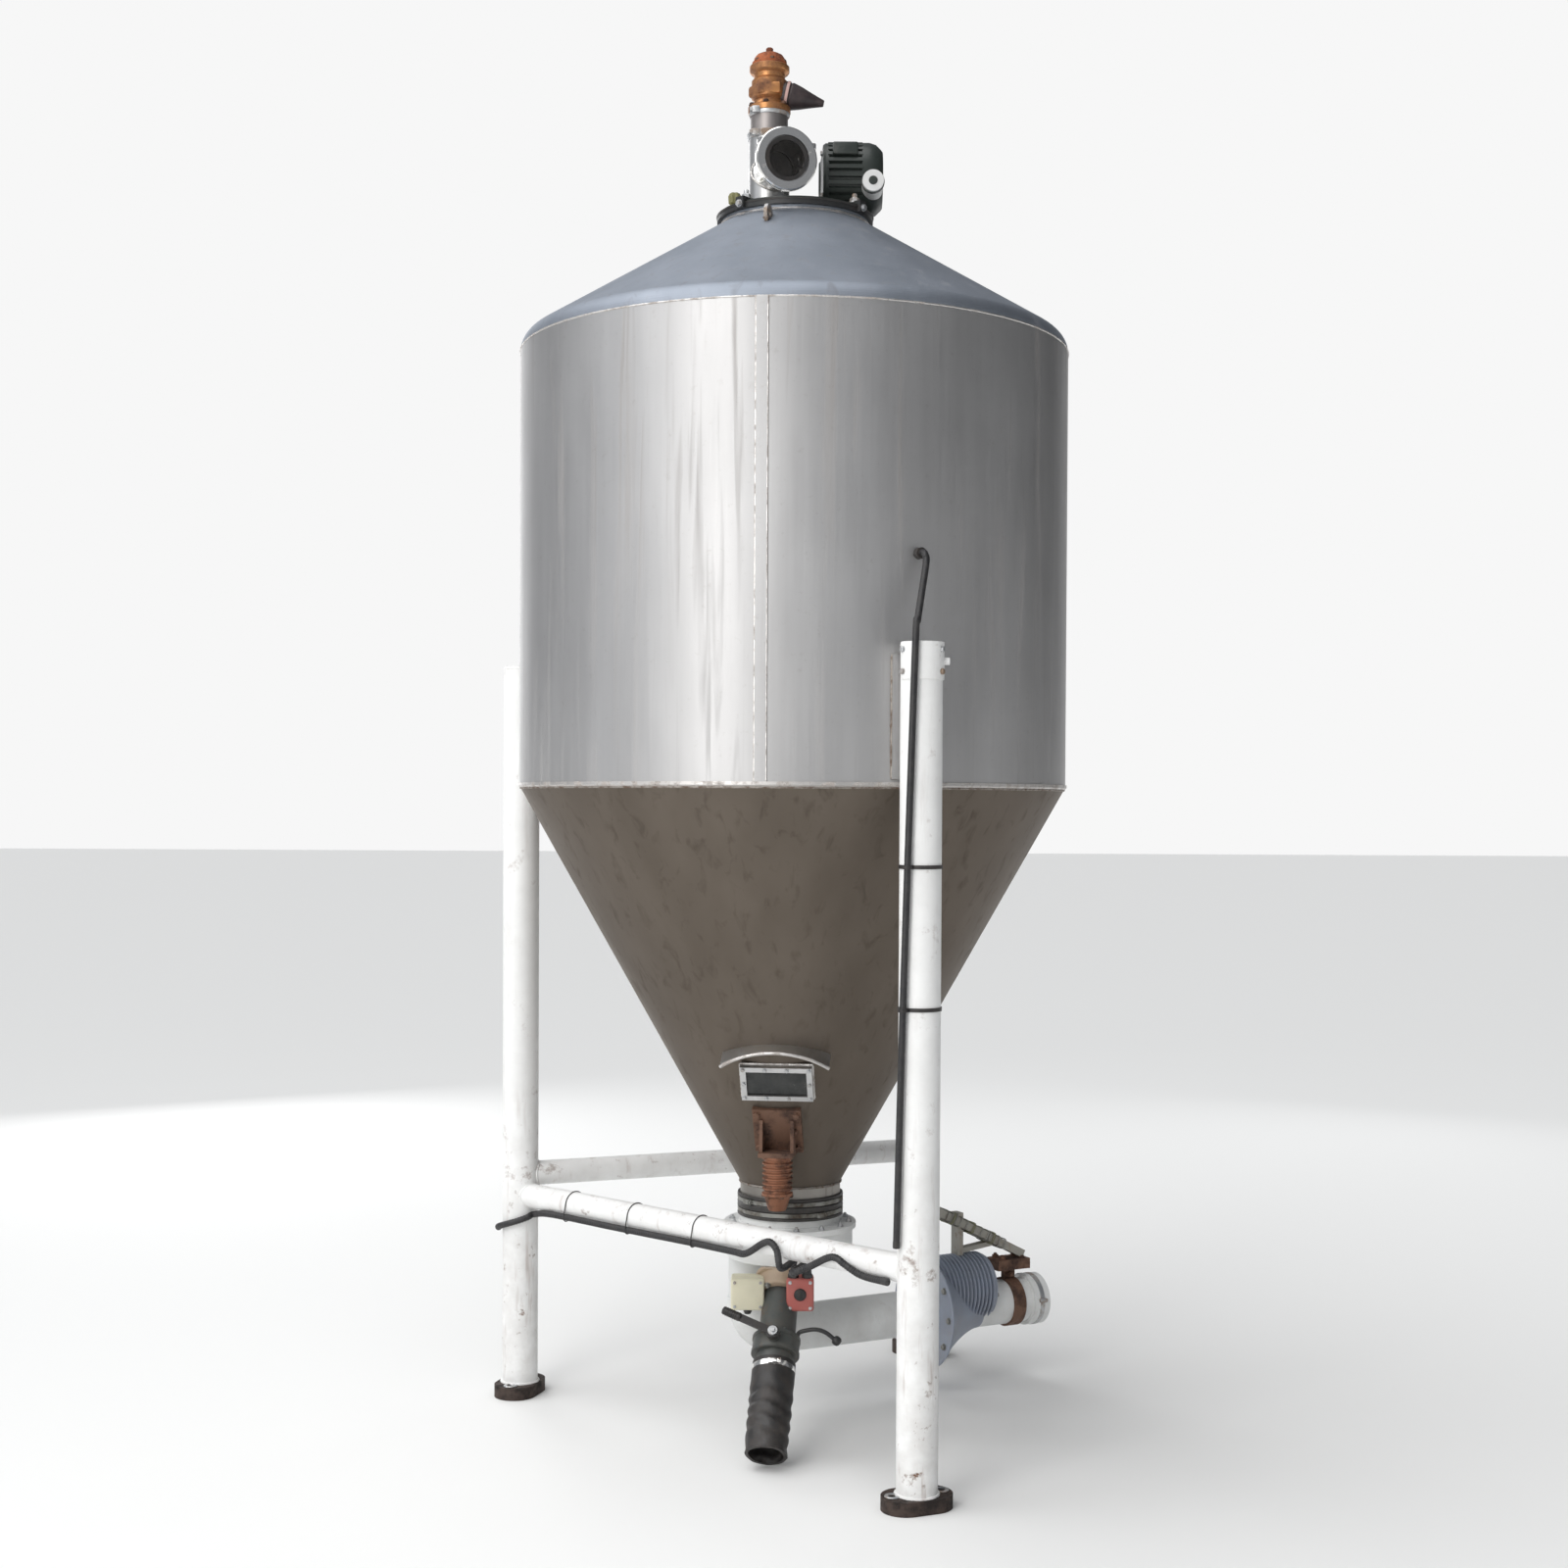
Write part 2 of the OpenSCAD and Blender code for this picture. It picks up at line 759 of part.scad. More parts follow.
module vibrator() {
    color(brass) translate(tank_at) at_az(vib_az, vib_at, vib_top_z - vib_h) {
        cylinder(r = vib_r - vib_waist, h = vib_h);
        for (z = [0, vib_h - vib_rim_t]) translate([0, 0, z]) cylinder(r = vib_r, h = vib_rim_t);
        translate([0, 0, -vib_cap_h]) cylinder(r1 = vib_cap_r * vib_cap_taper, r2 = vib_cap_r, h = vib_cap_h);
    }
}

// --- outlet --------------------------------------------------------------------------------------------

module outlet_neck() {
    color(dull_steel) translate(tank_at) translate([0, 0, neck_z]) tube(outlet_r, hopper_t, neck_l);
}

module outlet_band() {
    color(black) translate(tank_at) translate([0, 0, neck_z - band_l / 2 + band_up])
        tube(outlet_r + band_t, band_t, band_l);
}

module outlet_box() {
    color(white_paint) translate(tank_at) difference() {
        union() {
            translate([0, 0, box_z]) cylinder(r = box_r, h = box_h);
            translate([0, 0, box_top_z - rim_t]) cylinder(r = box_r + rim_out, h = rim_t);
            translate([0, 0, box_top_z]) cylinder(r = outlet_r, h = spigot_l);
        }
        translate([0, 0, box_z + box_t]) cylinder(r = box_r - box_t, h = box_h - box_t - rim_t);
        translate([0, 0, box_z + box_t]) cylinder(r = outlet_r - hopper_t, h = box_h + spigot_l);
        translate(at_z(line_from, box_z - e)) cylinder(r = line_r - line_t, h = box_t + 2 * e);
        on_spout(-box_h) cylinder(r = spout_r - spout_t, h = box_h + spout_r);
    }
}

module conveying_line() {
    color(white_paint) translate(tank_at) {
        on_line(0, riser_bend) tube(line_r, line_t, box_z - line_z - riser_bend);
        on_line(riser_bend, riser_bend) rotate([90, 0, 0]) rotate([0, 0, 180])
            rotate_extrude(angle = 90) translate([riser_bend, 0]) difference() {
                circle(r = line_r);
                circle(r = line_r - line_t);
            }
        on_line(riser_bend) rotate([0, 90, 0]) tube(line_r, line_t, line_l - riser_bend);
        on_line(0, riser_bend - cuff_l / 2) tube(line_r + cuff_t, cuff_t + line_t, cuff_l);
        on_line(riser_bend - cuff_l / 2) rotate([0, 90, 0]) tube(line_r + cuff_t, cuff_t + line_t, cuff_l);
        on_line(line_l - end_l) rotate([0, 90, 0]) tube(line_r + end_out, end_out + line_t, end_l);
    }
}

module bell_outline() {
    profile = [for (i = [0:bell_steps]) let (s = i / bell_steps)
        [line_r + (bell_r - line_r) * pow(1 - s, 1.5), s * bell_l]];
    on_line(bell_from) rotate([0, 90, 0]) rotate_extrude() polygon(concat([[0, 0]], profile, [[0, bell_l]]));
}

module line_solid() {
    on_line(0) rotate([0, 90, 0]) cylinder(r = line_r, h = line_l);
}

module motor2_outline() {
    on_line(motor2_from, motor2_rise) rotate([0, 90, 0]) cylinder(r = motor2_r, h = motor2_l);
}

module blower() {
    pitch = (motor2_l - fin_w) / (fin_n - 1);
    color(blue_grey) translate(tank_at) difference() {
        union() {
            bell_outline();
            on_line(motor2_from, motor2_rise) rotate([0, 90, 0]) {
                cylinder(r = motor2_r - fin_out, h = motor2_l);
                for (i = [0:fin_n - 1]) translate([0, 0, i * pitch]) cylinder(r = motor2_r, h = fin_w);
            }
        }
        line_solid();
    }
}

module bracket_bar(from, to, w, h) {
    run = to - from;
    translate([from.x, -w / 2, from.y]) rotate([0, -atan2(run.y, run.x), 0])
        translate([0, 0, -h / 2]) cube([norm(run), w, h]);
}

module blower_bracket() {
    top = side_brace_z - line_z + brace_r + bracket_h / 2;
    tip = block_z - line_z + bracket_h / 2;
    casing_top = motor2_rise + motor2_r;
    color(dull_steel) translate(tank_at) difference() {
        on_line(0) {
            bracket_bar([bracket_from - bar_over, top + bar_lift], [bracket_to, tip], bracket_w, bracket_h);
            bracket_bar([post_at, casing_top - 6], [post_at, top - post_drop], bracket_w - 12, post_l);
            bracket_bar([post_at, casing_top + 8], [bracket_to - strut_in, tip + strut_rise],
                        bracket_w - 20, post_l - 4);
        }
        motor2_outline();
        along(at_z(leg_front_at, side_brace_z), at_z(leg_back_at, side_brace_z))
            cylinder(r = brace_r, h = norm(leg_back_at - leg_front_at));
        on_line(hanger_at, block_z - line_z) translate([-block_l / 2, -block_w, -block_h])
            cube([block_l, 2 * block_w, block_h]);
    }
}

module line_hanger() {
    color(rust) translate(tank_at) difference() {
        on_line(hanger_at) {
            translate([-hanger_w / 2, 0, 0]) rotate([0, 90, 0]) cylinder(r = line_r + hanger_t, h = hanger_w);
            translate([-hanger_w / 2, -hanger_t, line_r])
                cube([hanger_w, 2 * hanger_t, block_z - line_z - block_h - line_r + e]);
            translate([-block_l / 2, -block_w / 2, block_z - line_z - block_h])
                cube([block_l, block_w, block_h]);
        }
        line_solid();
    }
}

// --- spout ---------------------------------------------------------------------------------------------

module spout_pipe() {
    color(dark_paint) translate(tank_at) difference() {
        on_spout(-spout_r) tube(spout_r, spout_t, pipe_end + spout_r);
        translate([0, 0, box_z]) cylinder(r = box_r + spout_r, h = box_h);
    }
}

module valve_outline() {
    on_spout(valve_at) cylinder(r = valve_r, h = valve_l);
}

module spout_outline() {
    on_spout(-spout_r) cylinder(r = spout_r, h = pipe_end);
}

module spout_valve() {
    color([0.72, 0.60, 0.48]) translate(tank_at) difference() {
        valve_outline();
        spout_outline();
        translate([0, 0, box_z]) cylinder(r = box_r + valve_r, h = box_h);
    }
}

module side_box(at, size) {
    difference() {
        translate(at - size / 2) cube(size);
        valve_outline();
        spout_outline();
        translate([0, 0, box_z]) cylinder(r = box_r, h = box_h);
    }
}

module control_box() {
    color([0.88, 0.87, 0.74]) translate(tank_at) side_box(cream_at, cream_size);
}

module valve_drive() {
    color([0.66, 0.30, 0.29]) translate(tank_at) side_box(red_at, red_size);
}

module on_gate() {
    on_spout(stem_at) rotate([0, -90, 0]) children();
}

module gate_body() {
    color(dark_paint) translate(tank_at) difference() {
        union() {
            on_spout(gate_at) cylinder(r = gate_r, h = gate_l);
            on_gate() cylinder(r = boss_r, h = boss_top, $fn = 48);
        }
        spout_outline();
    }
}

module gate_stem() {
    color(chrome_grey) translate(tank_at) on_gate() {
        translate([0, 0, boss_top]) cylinder(r = stem_r, h = stem_top - boss_top, $fn = 48);
        translate([0, 0, stem_top]) cylinder(r = hub_r - 4, h = stem_cap_h, $fn = 48);
    }
}

module gate_lever() {
    color(black) translate(tank_at) on_gate() translate([0, 0, hub_from]) rotate([0, 0, -90 - lever_deg])
        difference() {
            union() {
                cylinder(r = hub_r, h = hub_h, $fn = 48);
                translate([0, -lever_w / 2, hub_h - lever_h]) cube([lever_l - grip_l, lever_w, lever_h]);
                translate([lever_l - grip_l, 0, hub_h - lever_h / 2]) rotate([0, 90, 0])
                    cylinder(r = grip_r, h = grip_l, $fn = 48);
            }
            translate([0, 0, -e]) cylinder(r = stem_r + stem_play, h = hub_h + 2 * e, $fn = 48);
        }
}

module spout_sock() {
    color(black) translate(tank_at) difference() {
        on_spout(sock_at) cylinder(r = spout_r + sock_t, h = spout_l - sock_at);
        on_spout(sock_at - e) cylinder(r = spout_r, h = spout_l);
    }
}

module purge_rod() {
    last = len(rod_path) - 1;
    run = rod_path[last] - rod_path[last - 1];
    color(black) translate(tank_at) {
        cord(rod_path, rod_r);
        along(rod_path[last], rod_path[last] + run) cylinder(r = rod_knob_r, h = rod_knob_l, $fn = 32);
    }
}

// --- cables --------------------------------------------------------------------------------------------

cable_off = leg_r + cable_r + cable_gap;
function cable_share(z) = (cable_top_z - z) / (cable_top_z - cable_foot_z);
function cable_at(z) = let (turn = cable_turn[0] + cable_share(z) * (cable_turn[1] - cable_turn[0]))
    at_z(leg_front_at + cable_off * [sin(turn), -cos(turn)], z);
leg_cable_path = concat(
    [for (step = [[0, 0], [8, 0], [15, -6], [20, -22]])
        at_z(on_ring(gland_az, body_r + gland_l + step[0]), gland_z + step[1])],
    [for (i = [0:cable_steps]) cable_at(cable_top_z + i / cable_steps * (cable_foot_z - cable_top_z))]);

brace_run = leg_front_at - leg_left_at;
brace_dir = brace_run / norm(brace_run);
brace_out = [brace_dir.y, -brace_dir.x]; // level, away from the tank's axis
hose_low = (brace_r + hose_r + hose_gap) / sqrt(2);
hose_off = leg_r + hose_r + hose_gap;
function on_brace(share, out = 0, up = 0) =
    at_z(leg_left_at + share * brace_run + (hose_low + out) * brace_out, brace_z - hose_low + up);
function hose_end(x) = red_at + [x, -14, red_size.z / 2];
left_hose_path = concat(
    [for (turn = [hose_wrap[1]:hose_wrap_step:hose_wrap[0]])
        at_z(leg_left_at + hose_off * [sin(turn), -cos(turn)],
             brace_z - hose_low - hose_sink
                 - hose_drop * (hose_wrap[0] - turn) / (hose_wrap[0] - hose_wrap[1]))],
    [on_brace(0.12), on_brace(0.3, 2), on_brace(0.5), on_brace(0.6, 3), on_brace(0.64, 12, 4)],
    [on_brace(0.68, 12, 34), on_brace(0.7, 14, 40), on_brace(0.715, 14, 24), on_brace(0.72, 8, -14)],
    [hose_end(-16) + [0, -20, hose_end_l + 12], hose_end(-16) + [0, 0, hose_end_l], hose_end(-16)]);
right_hose_path = concat(
    [hose_end(16), hose_end(16) + [0, 0, hose_end_l], hose_end(16) + [4, -24, hose_end_l + 12]],
    [on_brace(0.745, 6, -20), on_brace(0.79, 12, 4), on_brace(0.83, 14, 30), on_brace(0.85, 14, 34)],
    [on_brace(0.87, 12, 22), on_brace(0.9, 3, 4), on_brace(0.955)]);

module leg_cable() {
    color(black) translate(tank_at) cord(leg_cable_path, cable_r);
}

module brace_hoses() {
    color(black) translate(tank_at) {
        cord(left_hose_path, hose_r);
        cord(right_hose_path, hose_r);
    }
}

module cable_fixings() {
    color(black) translate(tank_at) {
        difference() {
            at_az(gland_az, body_r - gland_r, gland_z) rotate([90, 0, 0])
                cylinder(r = gland_r, h = gland_l + gland_r, $fn = 32);
            translate([0, 0, shell_z]) cylinder(r = body_r, h = body_h);
        }
        for (z = tie_zs) difference() {
            union() {
                translate(at_z(leg_front_at, z)) cylinder(r = leg_r + tie_t, h = tie_w);
                translate(cable_at(z)) cylinder(r = cable_r + tie_gap + tie_t, h = tie_w);
            }
            leg_solid(leg_front_at, z - e, tie_w + 2 * e);
            translate(cable_at(z) - [0, 0, e]) cylinder(r = cable_r + tie_gap, h = tie_w + 2 * e);
        }
    }
}

shell_cylinder();
roof_cone();
hopper_cone();
hopper_ring();
shell_seam();
roof_eye();
roof_collar();
manway_flange();
manway_lid();
lid_clamps();
lid_knobs();
inlet_tee();
fill_pipe();
vent_pipe();
relief_valve();
relief_bonnet();
relief_horn();
head_motor();
motor_cap();
leg_front();
leg_left();
leg_back();
front_leg_sleeve();
leg_saddles();
foot_plates();
brace_front();
brace_back();
brace_side();
window_frame();
window_glass();
window_hood();
vibrator_bracket();
vibrator();
outlet_neck();
outlet_band();
outlet_box();
conveying_line();
blower();
blower_bracket();
line_hanger();
spout_pipe();
spout_valve();
control_box();
valve_drive();
gate_body();
gate_stem();
gate_lever();
spout_sock();
purge_rod();
leg_cable();
brace_hoses();
cable_fixings();
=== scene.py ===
# %% [markdown]
# # A powder silo, cell by cell
# The real thing is a welded steel tank on three white tube legs. A filling head stands on its roof, and an outlet
# box, a blower line and a bagging spout hang under its hopper. The measured model comes first, as a fixed frame:
# everything below is placed by it, so nothing has to be fitted by eye.

# %% Load the measured frame
import json
import math
import random

import bmesh
import bpy
from mathutils import Matrix, Vector, noise

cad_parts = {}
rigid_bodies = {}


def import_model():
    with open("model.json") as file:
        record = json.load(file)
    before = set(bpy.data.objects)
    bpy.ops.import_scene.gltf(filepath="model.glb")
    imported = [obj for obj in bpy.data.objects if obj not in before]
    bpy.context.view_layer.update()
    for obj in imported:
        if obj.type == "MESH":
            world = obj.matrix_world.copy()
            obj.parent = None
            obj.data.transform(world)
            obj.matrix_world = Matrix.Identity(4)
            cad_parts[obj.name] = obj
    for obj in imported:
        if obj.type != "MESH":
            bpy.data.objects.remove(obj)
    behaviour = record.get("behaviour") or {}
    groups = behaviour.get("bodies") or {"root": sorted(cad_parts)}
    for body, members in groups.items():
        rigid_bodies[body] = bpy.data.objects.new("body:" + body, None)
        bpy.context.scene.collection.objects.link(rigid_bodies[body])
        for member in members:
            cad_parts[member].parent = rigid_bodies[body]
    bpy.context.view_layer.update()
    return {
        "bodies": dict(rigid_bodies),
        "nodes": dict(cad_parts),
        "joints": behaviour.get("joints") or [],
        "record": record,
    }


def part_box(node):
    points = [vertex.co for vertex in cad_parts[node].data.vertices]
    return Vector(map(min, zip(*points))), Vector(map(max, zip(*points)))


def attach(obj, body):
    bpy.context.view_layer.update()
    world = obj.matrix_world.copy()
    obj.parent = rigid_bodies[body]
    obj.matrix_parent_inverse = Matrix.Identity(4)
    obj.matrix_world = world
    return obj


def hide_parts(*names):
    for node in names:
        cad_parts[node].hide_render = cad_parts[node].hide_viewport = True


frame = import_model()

scene = bpy.context.scene
nodes = frame["nodes"]

# %% [markdown]
# Most of the silo is arranged round the tank's axis, so places are given as on a clock face: an azimuth from the
# front, positive to the right, a distance from the axis and a height. The axis is the centre of the shell's box.

# %% Where the tank stands
shell_low, shell_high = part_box("shell_cylinder")
tank_x = (shell_low.x + shell_high.x) / 2
tank_y = (shell_low.y + shell_high.y) / 2
shell_r = (shell_high.x - shell_low.x) / 2
shell_z, knuckle_z = shell_low.z, shell_high.z
hopper_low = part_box("hopper_cone")[0]
outlet_r = (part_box("outlet_neck")[1].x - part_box("outlet_neck")[0].x) / 2
hopper_z = hopper_low.z
hopper_slope = (shell_z - hopper_z) / (shell_r - outlet_r)
hopper_lean = math.pi / 2 - math.atan(hopper_slope)
collar_low, collar_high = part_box("roof_collar")
collar_r = (collar_high.x - collar_low.x) / 2
lid_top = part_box("manway_lid")[1].z


def move(x, y, z):
    """A shift as a frame; spin is a turn in degrees about one axis."""
    return Matrix.Translation((x, y, z))


def spin(degrees, axis):
    return Matrix.Rotation(math.radians(degrees), 4, axis)


def hopper_r(z):
    return outlet_r + (z - hopper_z) / hopper_slope


def around(azimuth, radius, z):
    """A point at an azimuth in degrees and a distance from the tank's axis."""
    turn = math.radians(azimuth)
    return Vector((tank_x + radius * math.sin(turn), tank_y - radius * math.cos(turn), z))


def at_azimuth(azimuth, radius, z):
    """A frame there whose -Y looks outwards and whose Z points up."""
    return Matrix.Translation(around(azimuth, radius, z)) @ spin(azimuth, "Z")


def on_hopper(azimuth, z):
    """A frame on the hopper's sheet whose -Y stands square to it and whose Z runs up the slope."""
    return at_azimuth(azimuth, hopper_r(z), z) @ Matrix.Rotation(hopper_lean, 4, "X")


def along(start, end):
    """A frame at start whose Z runs to end."""
    run = end - start
    lean = math.atan2(math.hypot(run.x, run.y), run.z)
    turn = math.atan2(run.y, run.x)
    return Matrix.Translation(start) @ Matrix.Rotation(turn, 4, "Z") @ Matrix.Rotation(lean, 4, "Y")


def centre(node):
    low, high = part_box(node)
    return (low + high) / 2


print(f"tank radius {shell_r:.3f} m, shell from {shell_z:.3f} m up, lid at {lid_top:.3f} m")

# %% [markdown]
# ## The camera
# A camera at eye height, about five metres off and within a degree of level, keeps the legs upright as a person on
# the ground sees them. The tank is much taller than the eye, so the lens is shifted up a little as well.

# %% Camera
EYE_DISTANCE, EYE_HEIGHT = 5.082, 1.4786
EYE_TILT, EYE_ROLL = 89.07, 0.286
camera_data = bpy.data.cameras.new("eye_level")
camera_data.lens, camera_data.sensor_width = 48.6, 36.0
camera_data.shift_x = -0.0051
camera_data.shift_y = 0.0348
camera = bpy.data.objects.new("eye_level", camera_data)
scene.collection.objects.link(camera)
camera.matrix_world = move(tank_x, tank_y - EYE_DISTANCE, EYE_HEIGHT) @ spin(EYE_TILT, "X") @ spin(EYE_ROLL, "Z")
scene.camera = camera
print("camera at", tuple(round(v, 3) for v in camera.location))

# %% [markdown]
# ## Floor and light
# Brushed steel shows mostly what it reflects. One tall soft box on the left front draws the broad bright stripe
# down the shell, weak ones at either side keep its edges readable, and two behind shape the back. A very soft sun
# fills in from above. The surroundings are a quiet grey that darkens to the right and behind, while the eye itself
# sees a pale backdrop.

# %% Floor
FLOOR_REACH, FLOOR_DROP = 60, 0.0005
floor_mesh = bpy.data.meshes.new("floor")
corners = [(x * FLOOR_REACH, y * FLOOR_REACH, -FLOOR_DROP) for x, y in ((-1, -1), (1, -1), (1, 1), (-1, 1))]
floor_mesh.from_pydata(corners, [], [(0, 1, 2, 3)])
floor = bpy.data.objects.new("floor", floor_mesh)
scene.collection.objects.link(floor)
floor_finish = bpy.data.materials.new("pale_floor")
floor_finish.use_nodes = True
floor_shader = floor_finish.node_tree.nodes["Principled BSDF"]
floor_shader.inputs["Base Color"].default_value = (0.84, 0.84, 0.83, 1)
floor_shader.inputs["Roughness"].default_value = 0.9
floor_mesh.materials.append(floor_finish)


# %% Soft boxes
def soft_box(name, azimuth, distance, z, width, height, power, aim_z, tint=(1, 1, 1)):
    """A rectangular lamp that faces the tank's axis at the height aim_z."""
    data = bpy.data.lights.new(name, "AREA")
    data.shape = "RECTANGLE"
    data.size, data.size_y = width, height
    data.energy = power
    data.color = tint
    lamp = bpy.data.objects.new(name, data)
    scene.collection.objects.link(lamp)
    place = around(azimuth, distance, z)
    aim = Vector((tank_x, tank_y, aim_z)) - place
    lamp.matrix_world = Matrix.Translation(place) @ aim.to_track_quat("-Z", "Y").to_matrix().to_4x4()
    print(name, f"{power} W")


soft_box("left_front_box", -28, 5.4, 3.2, 2.3, 4.6, 120, 2.0, (1.0, 0.99, 0.97))
soft_box("left_side_box", -72, 5.6, 2.6, 2.4, 4.0, 17, 1.8, (0.93, 0.96, 1.0))
soft_box("right_front_box", 84, 6.0, 2.2, 1.4, 3.4, 3, 1.4, (0.93, 0.96, 1.0))
soft_box("back_left_box", -150, 5.5, 2.8, 1.8, 4.2, 60, 1.6)
soft_box("back_right_box", 150, 5.5, 2.8, 1.4, 4.0, 14, 1.6)
sun_data = bpy.data.lights.new("overhead", "SUN")
sun_data.energy, sun_data.angle = 2.3, math.radians(75)
sun = bpy.data.objects.new("overhead", sun_data)
scene.collection.objects.link(sun)
sun.rotation_euler = (math.radians(12), math.radians(-24), 0)

world = bpy.data.worlds.new("studio")
scene.world = world
world.use_nodes = True
sky = world.node_tree
lit = sky.nodes["Background"]
lit.inputs["Color"].default_value = (0.85, 0.88, 0.93, 1)
ways = sky.nodes.new("ShaderNodeTexCoord")
parts = sky.nodes.new("ShaderNodeSeparateXYZ")
dimmer = sky.nodes.new("ShaderNodeMapRange")
for name, value in (("From Min", 0.0), ("From Max", 0.75), ("To Min", 0.34), ("To Max", 0.07)):
    dimmer.inputs[name].default_value = value
sky.links.new(ways.outputs["Generated"], parts.inputs["Vector"])
bearing = sky.nodes.new("ShaderNodeMath")
bearing.operation = "MULTIPLY_ADD"
bearing.inputs[1].default_value = 0.5
sky.links.new(parts.outputs["Y"], bearing.inputs[0])
sky.links.new(parts.outputs["X"], bearing.inputs[2])
sky.links.new(bearing.outputs["Value"], dimmer.inputs["Value"])
sky.links.new(dimmer.outputs["Result"], lit.inputs["Strength"])
seen = sky.nodes.new("ShaderNodeBackground")
seen.inputs["Color"].default_value = (0.93, 0.93, 0.93, 1)
path = sky.nodes.new("ShaderNodeLightPath")
choice = sky.nodes.new("ShaderNodeMixShader")
sky.links.new(path.outputs["Is Camera Ray"], choice.inputs["Fac"])
sky.links.new(lit.outputs["Background"], choice.inputs[1])
sky.links.new(seen.outputs["Background"], choice.inputs[2])
sky.links.new(choice.outputs["Shader"], sky.nodes["World Output"].inputs["Surface"])
scene.view_settings.view_transform = "Standard"

# %% [markdown]
# ## Finishes as expressions
# A finish is easier to read as arithmetic than as a drawing of boxes and wires. `Pin` wraps one socket, and every
# operator on it adds a Math node, so `1 - mask` works as written. All other nodes come from one method of
# `Finish`, which takes the node's type, its settings and what goes into its sockets.


# %% One socket in an expression
class Pin:
    """A socket whose arithmetic adds Math nodes."""

    def __init__(self, finish, socket):
        self.finish = finish
        self.socket = socket

    def maths(self, operation, *items):
        return self.finish.node("Math", {"operation": operation}, dict(enumerate(items)))

    def __add__(self, other):
        return self.maths("ADD", self, other)

    def __sub__(self, other):
        return self.maths("SUBTRACT", self, other)

    def __rsub__(self, other):
        return self.maths("SUBTRACT", other, self)

    def __mul__(self, other):
        return self.maths("MULTIPLY", self, other)

    __radd__ = __add__
    __rmul__ = __mul__

    def clamped(self):
        return self.maths("MINIMUM", self.maths("MAXIMUM", self, 0.0), 1.0)

    def between(self, low, high):
        """0 below low, 1 above high, even in between."""
        return ((self - low) * (1 / (high - low))).clamped()


# %% A finish and its one way to add a node
class Finish:
    """A material whose nodes are added by expressions."""

    def __init__(self, name, **constants):
        self.material = bpy.data.materials.new(name)
        self.material.use_nodes = True
        self.tree = self.material.node_tree
        self.shader = self.tree.nodes["Principled BSDF"]
        for socket, value in constants.items():
            self.shader.inputs[socket.replace("_", " ")].default_value = value
        coordinates = self.tree.nodes.new("ShaderNodeTexCoord")
        self.place = Pin(self, coordinates.outputs["Object"])

    def put(self, socket, item):
        if isinstance(item, Pin):
            self.tree.links.new(item.socket, socket)
        elif isinstance(item, (tuple, list, Vector)) and len(item) == 3 and socket.type == "RGBA":
            socket.default_value = (*item, 1)
        else:
            socket.default_value = item

    def node(self, kind, settings, inputs, out=0):
        """Adds one node: its settings first, then its sockets. Returns one of its outputs."""
        made = self.tree.nodes.new("ShaderNode" + kind)
        for name, value in settings.items():
            setattr(made, name, value)
        for key, item in inputs.items():
            self.put(made.inputs[key], item)
        return Pin(self, made.outputs[out])

    def stretched(self, x, y, z):
        """The place on the object, multiplied by one number for each direction."""
        return self.node("VectorMath", {"operation": "MULTIPLY"}, {0: self.place, 1: (x, y, z)})

    def grain(self, scale, detail=3.0, rough=0.55, at=None, twist=0.0):
        """Cloudy noise from 0 to 1."""
        sockets = {"Vector": at or self.place, "Scale": scale, "Detail": detail, "Roughness": rough,
                   "Distortion": twist}
        return self.node("TexNoise", {}, sockets, "Fac")

    def height(self):
        return self.node("SeparateXYZ", {}, {"Vector": self.place}, "Z")

    def blend(self, share, first, second):
        """A colour between two colours."""
        return self.node("Mix", {"data_type": "RGBA"}, {0: share, 6: first, 7: second}, 2)

    def wear(self, colour, rough, relief=None, depth=0.001, metal=None):
        """Gives the shader what changes over the surface, and hands back the material."""
        self.put(self.shader.inputs["Base Color"], colour)
        self.put(self.shader.inputs["Roughness"], rough)
        if metal is not None:
            self.put(self.shader.inputs["Metallic"], metal)
        if relief is not None:
            normal = self.node("Bump", {}, {"Height": relief, "Distance": depth, "Strength": 1.0}, "Normal")
            self.put(self.shader.inputs["Normal"], normal)
        print("finish", self.material.name, "with", len(self.tree.nodes), "nodes")
        return self.material


# %% [markdown]
# ## Sheet steel
# The shell is plain rolled sheet: grey metal with a faint upright grain, long pale and dark runs left by rain and
# powder, and a slow ripple that makes the reflection waver. The grain is noise squeezed sideways and stretched
# upwards, and the ripple is a bump of a few millimetres over a hand's breadth.


# %% Rolled sheet
def rolled_sheet(name, light, dark, gloss=0.36, runs=0.5, top=1.0, ripple=0.004, stain=(0.30, 0.27, 0.25)):
    f = Finish(name, Metallic=1.0)
    lines = f.grain(1.0, 2.0, 0.6, f.stretched(240, 240, 3.0))
    drift = f.grain(1.0, 3.0, 0.5, f.stretched(9, 9, 0.9))
    cloud = f.grain(2.6, 4.0, 0.6)
    streak = f.grain(1.0, 3.0, 0.55, f.stretched(34, 34, 1.5), twist=0.6).between(0.56, 0.72)
    fade = f.height().between(top - 0.9, top)
    speck = f.grain(55.0, 3.0, 0.7).between(0.62, 0.78)
    share = (drift.between(0.3, 0.7) * 0.55 + lines * 0.25 + cloud * 0.3).clamped()
    colour = f.blend(share, dark, light)
    colour = f.blend((streak * (0.25 + fade * 0.75) * runs).clamped(), colour, stain)
    colour = f.blend(speck * 0.25, colour, stain)
    rough = (gloss + lines * 0.10 + streak * 0.14 + cloud * 0.14).clamped()
    relief = f.grain(3.2, 1.5, 0.4) * 1.0 + f.grain(1.0, 1.0, 0.5, f.stretched(7, 7, 1.4)) * 0.5 + lines * 0.012
    return f.wear(colour, rough, relief, ripple)


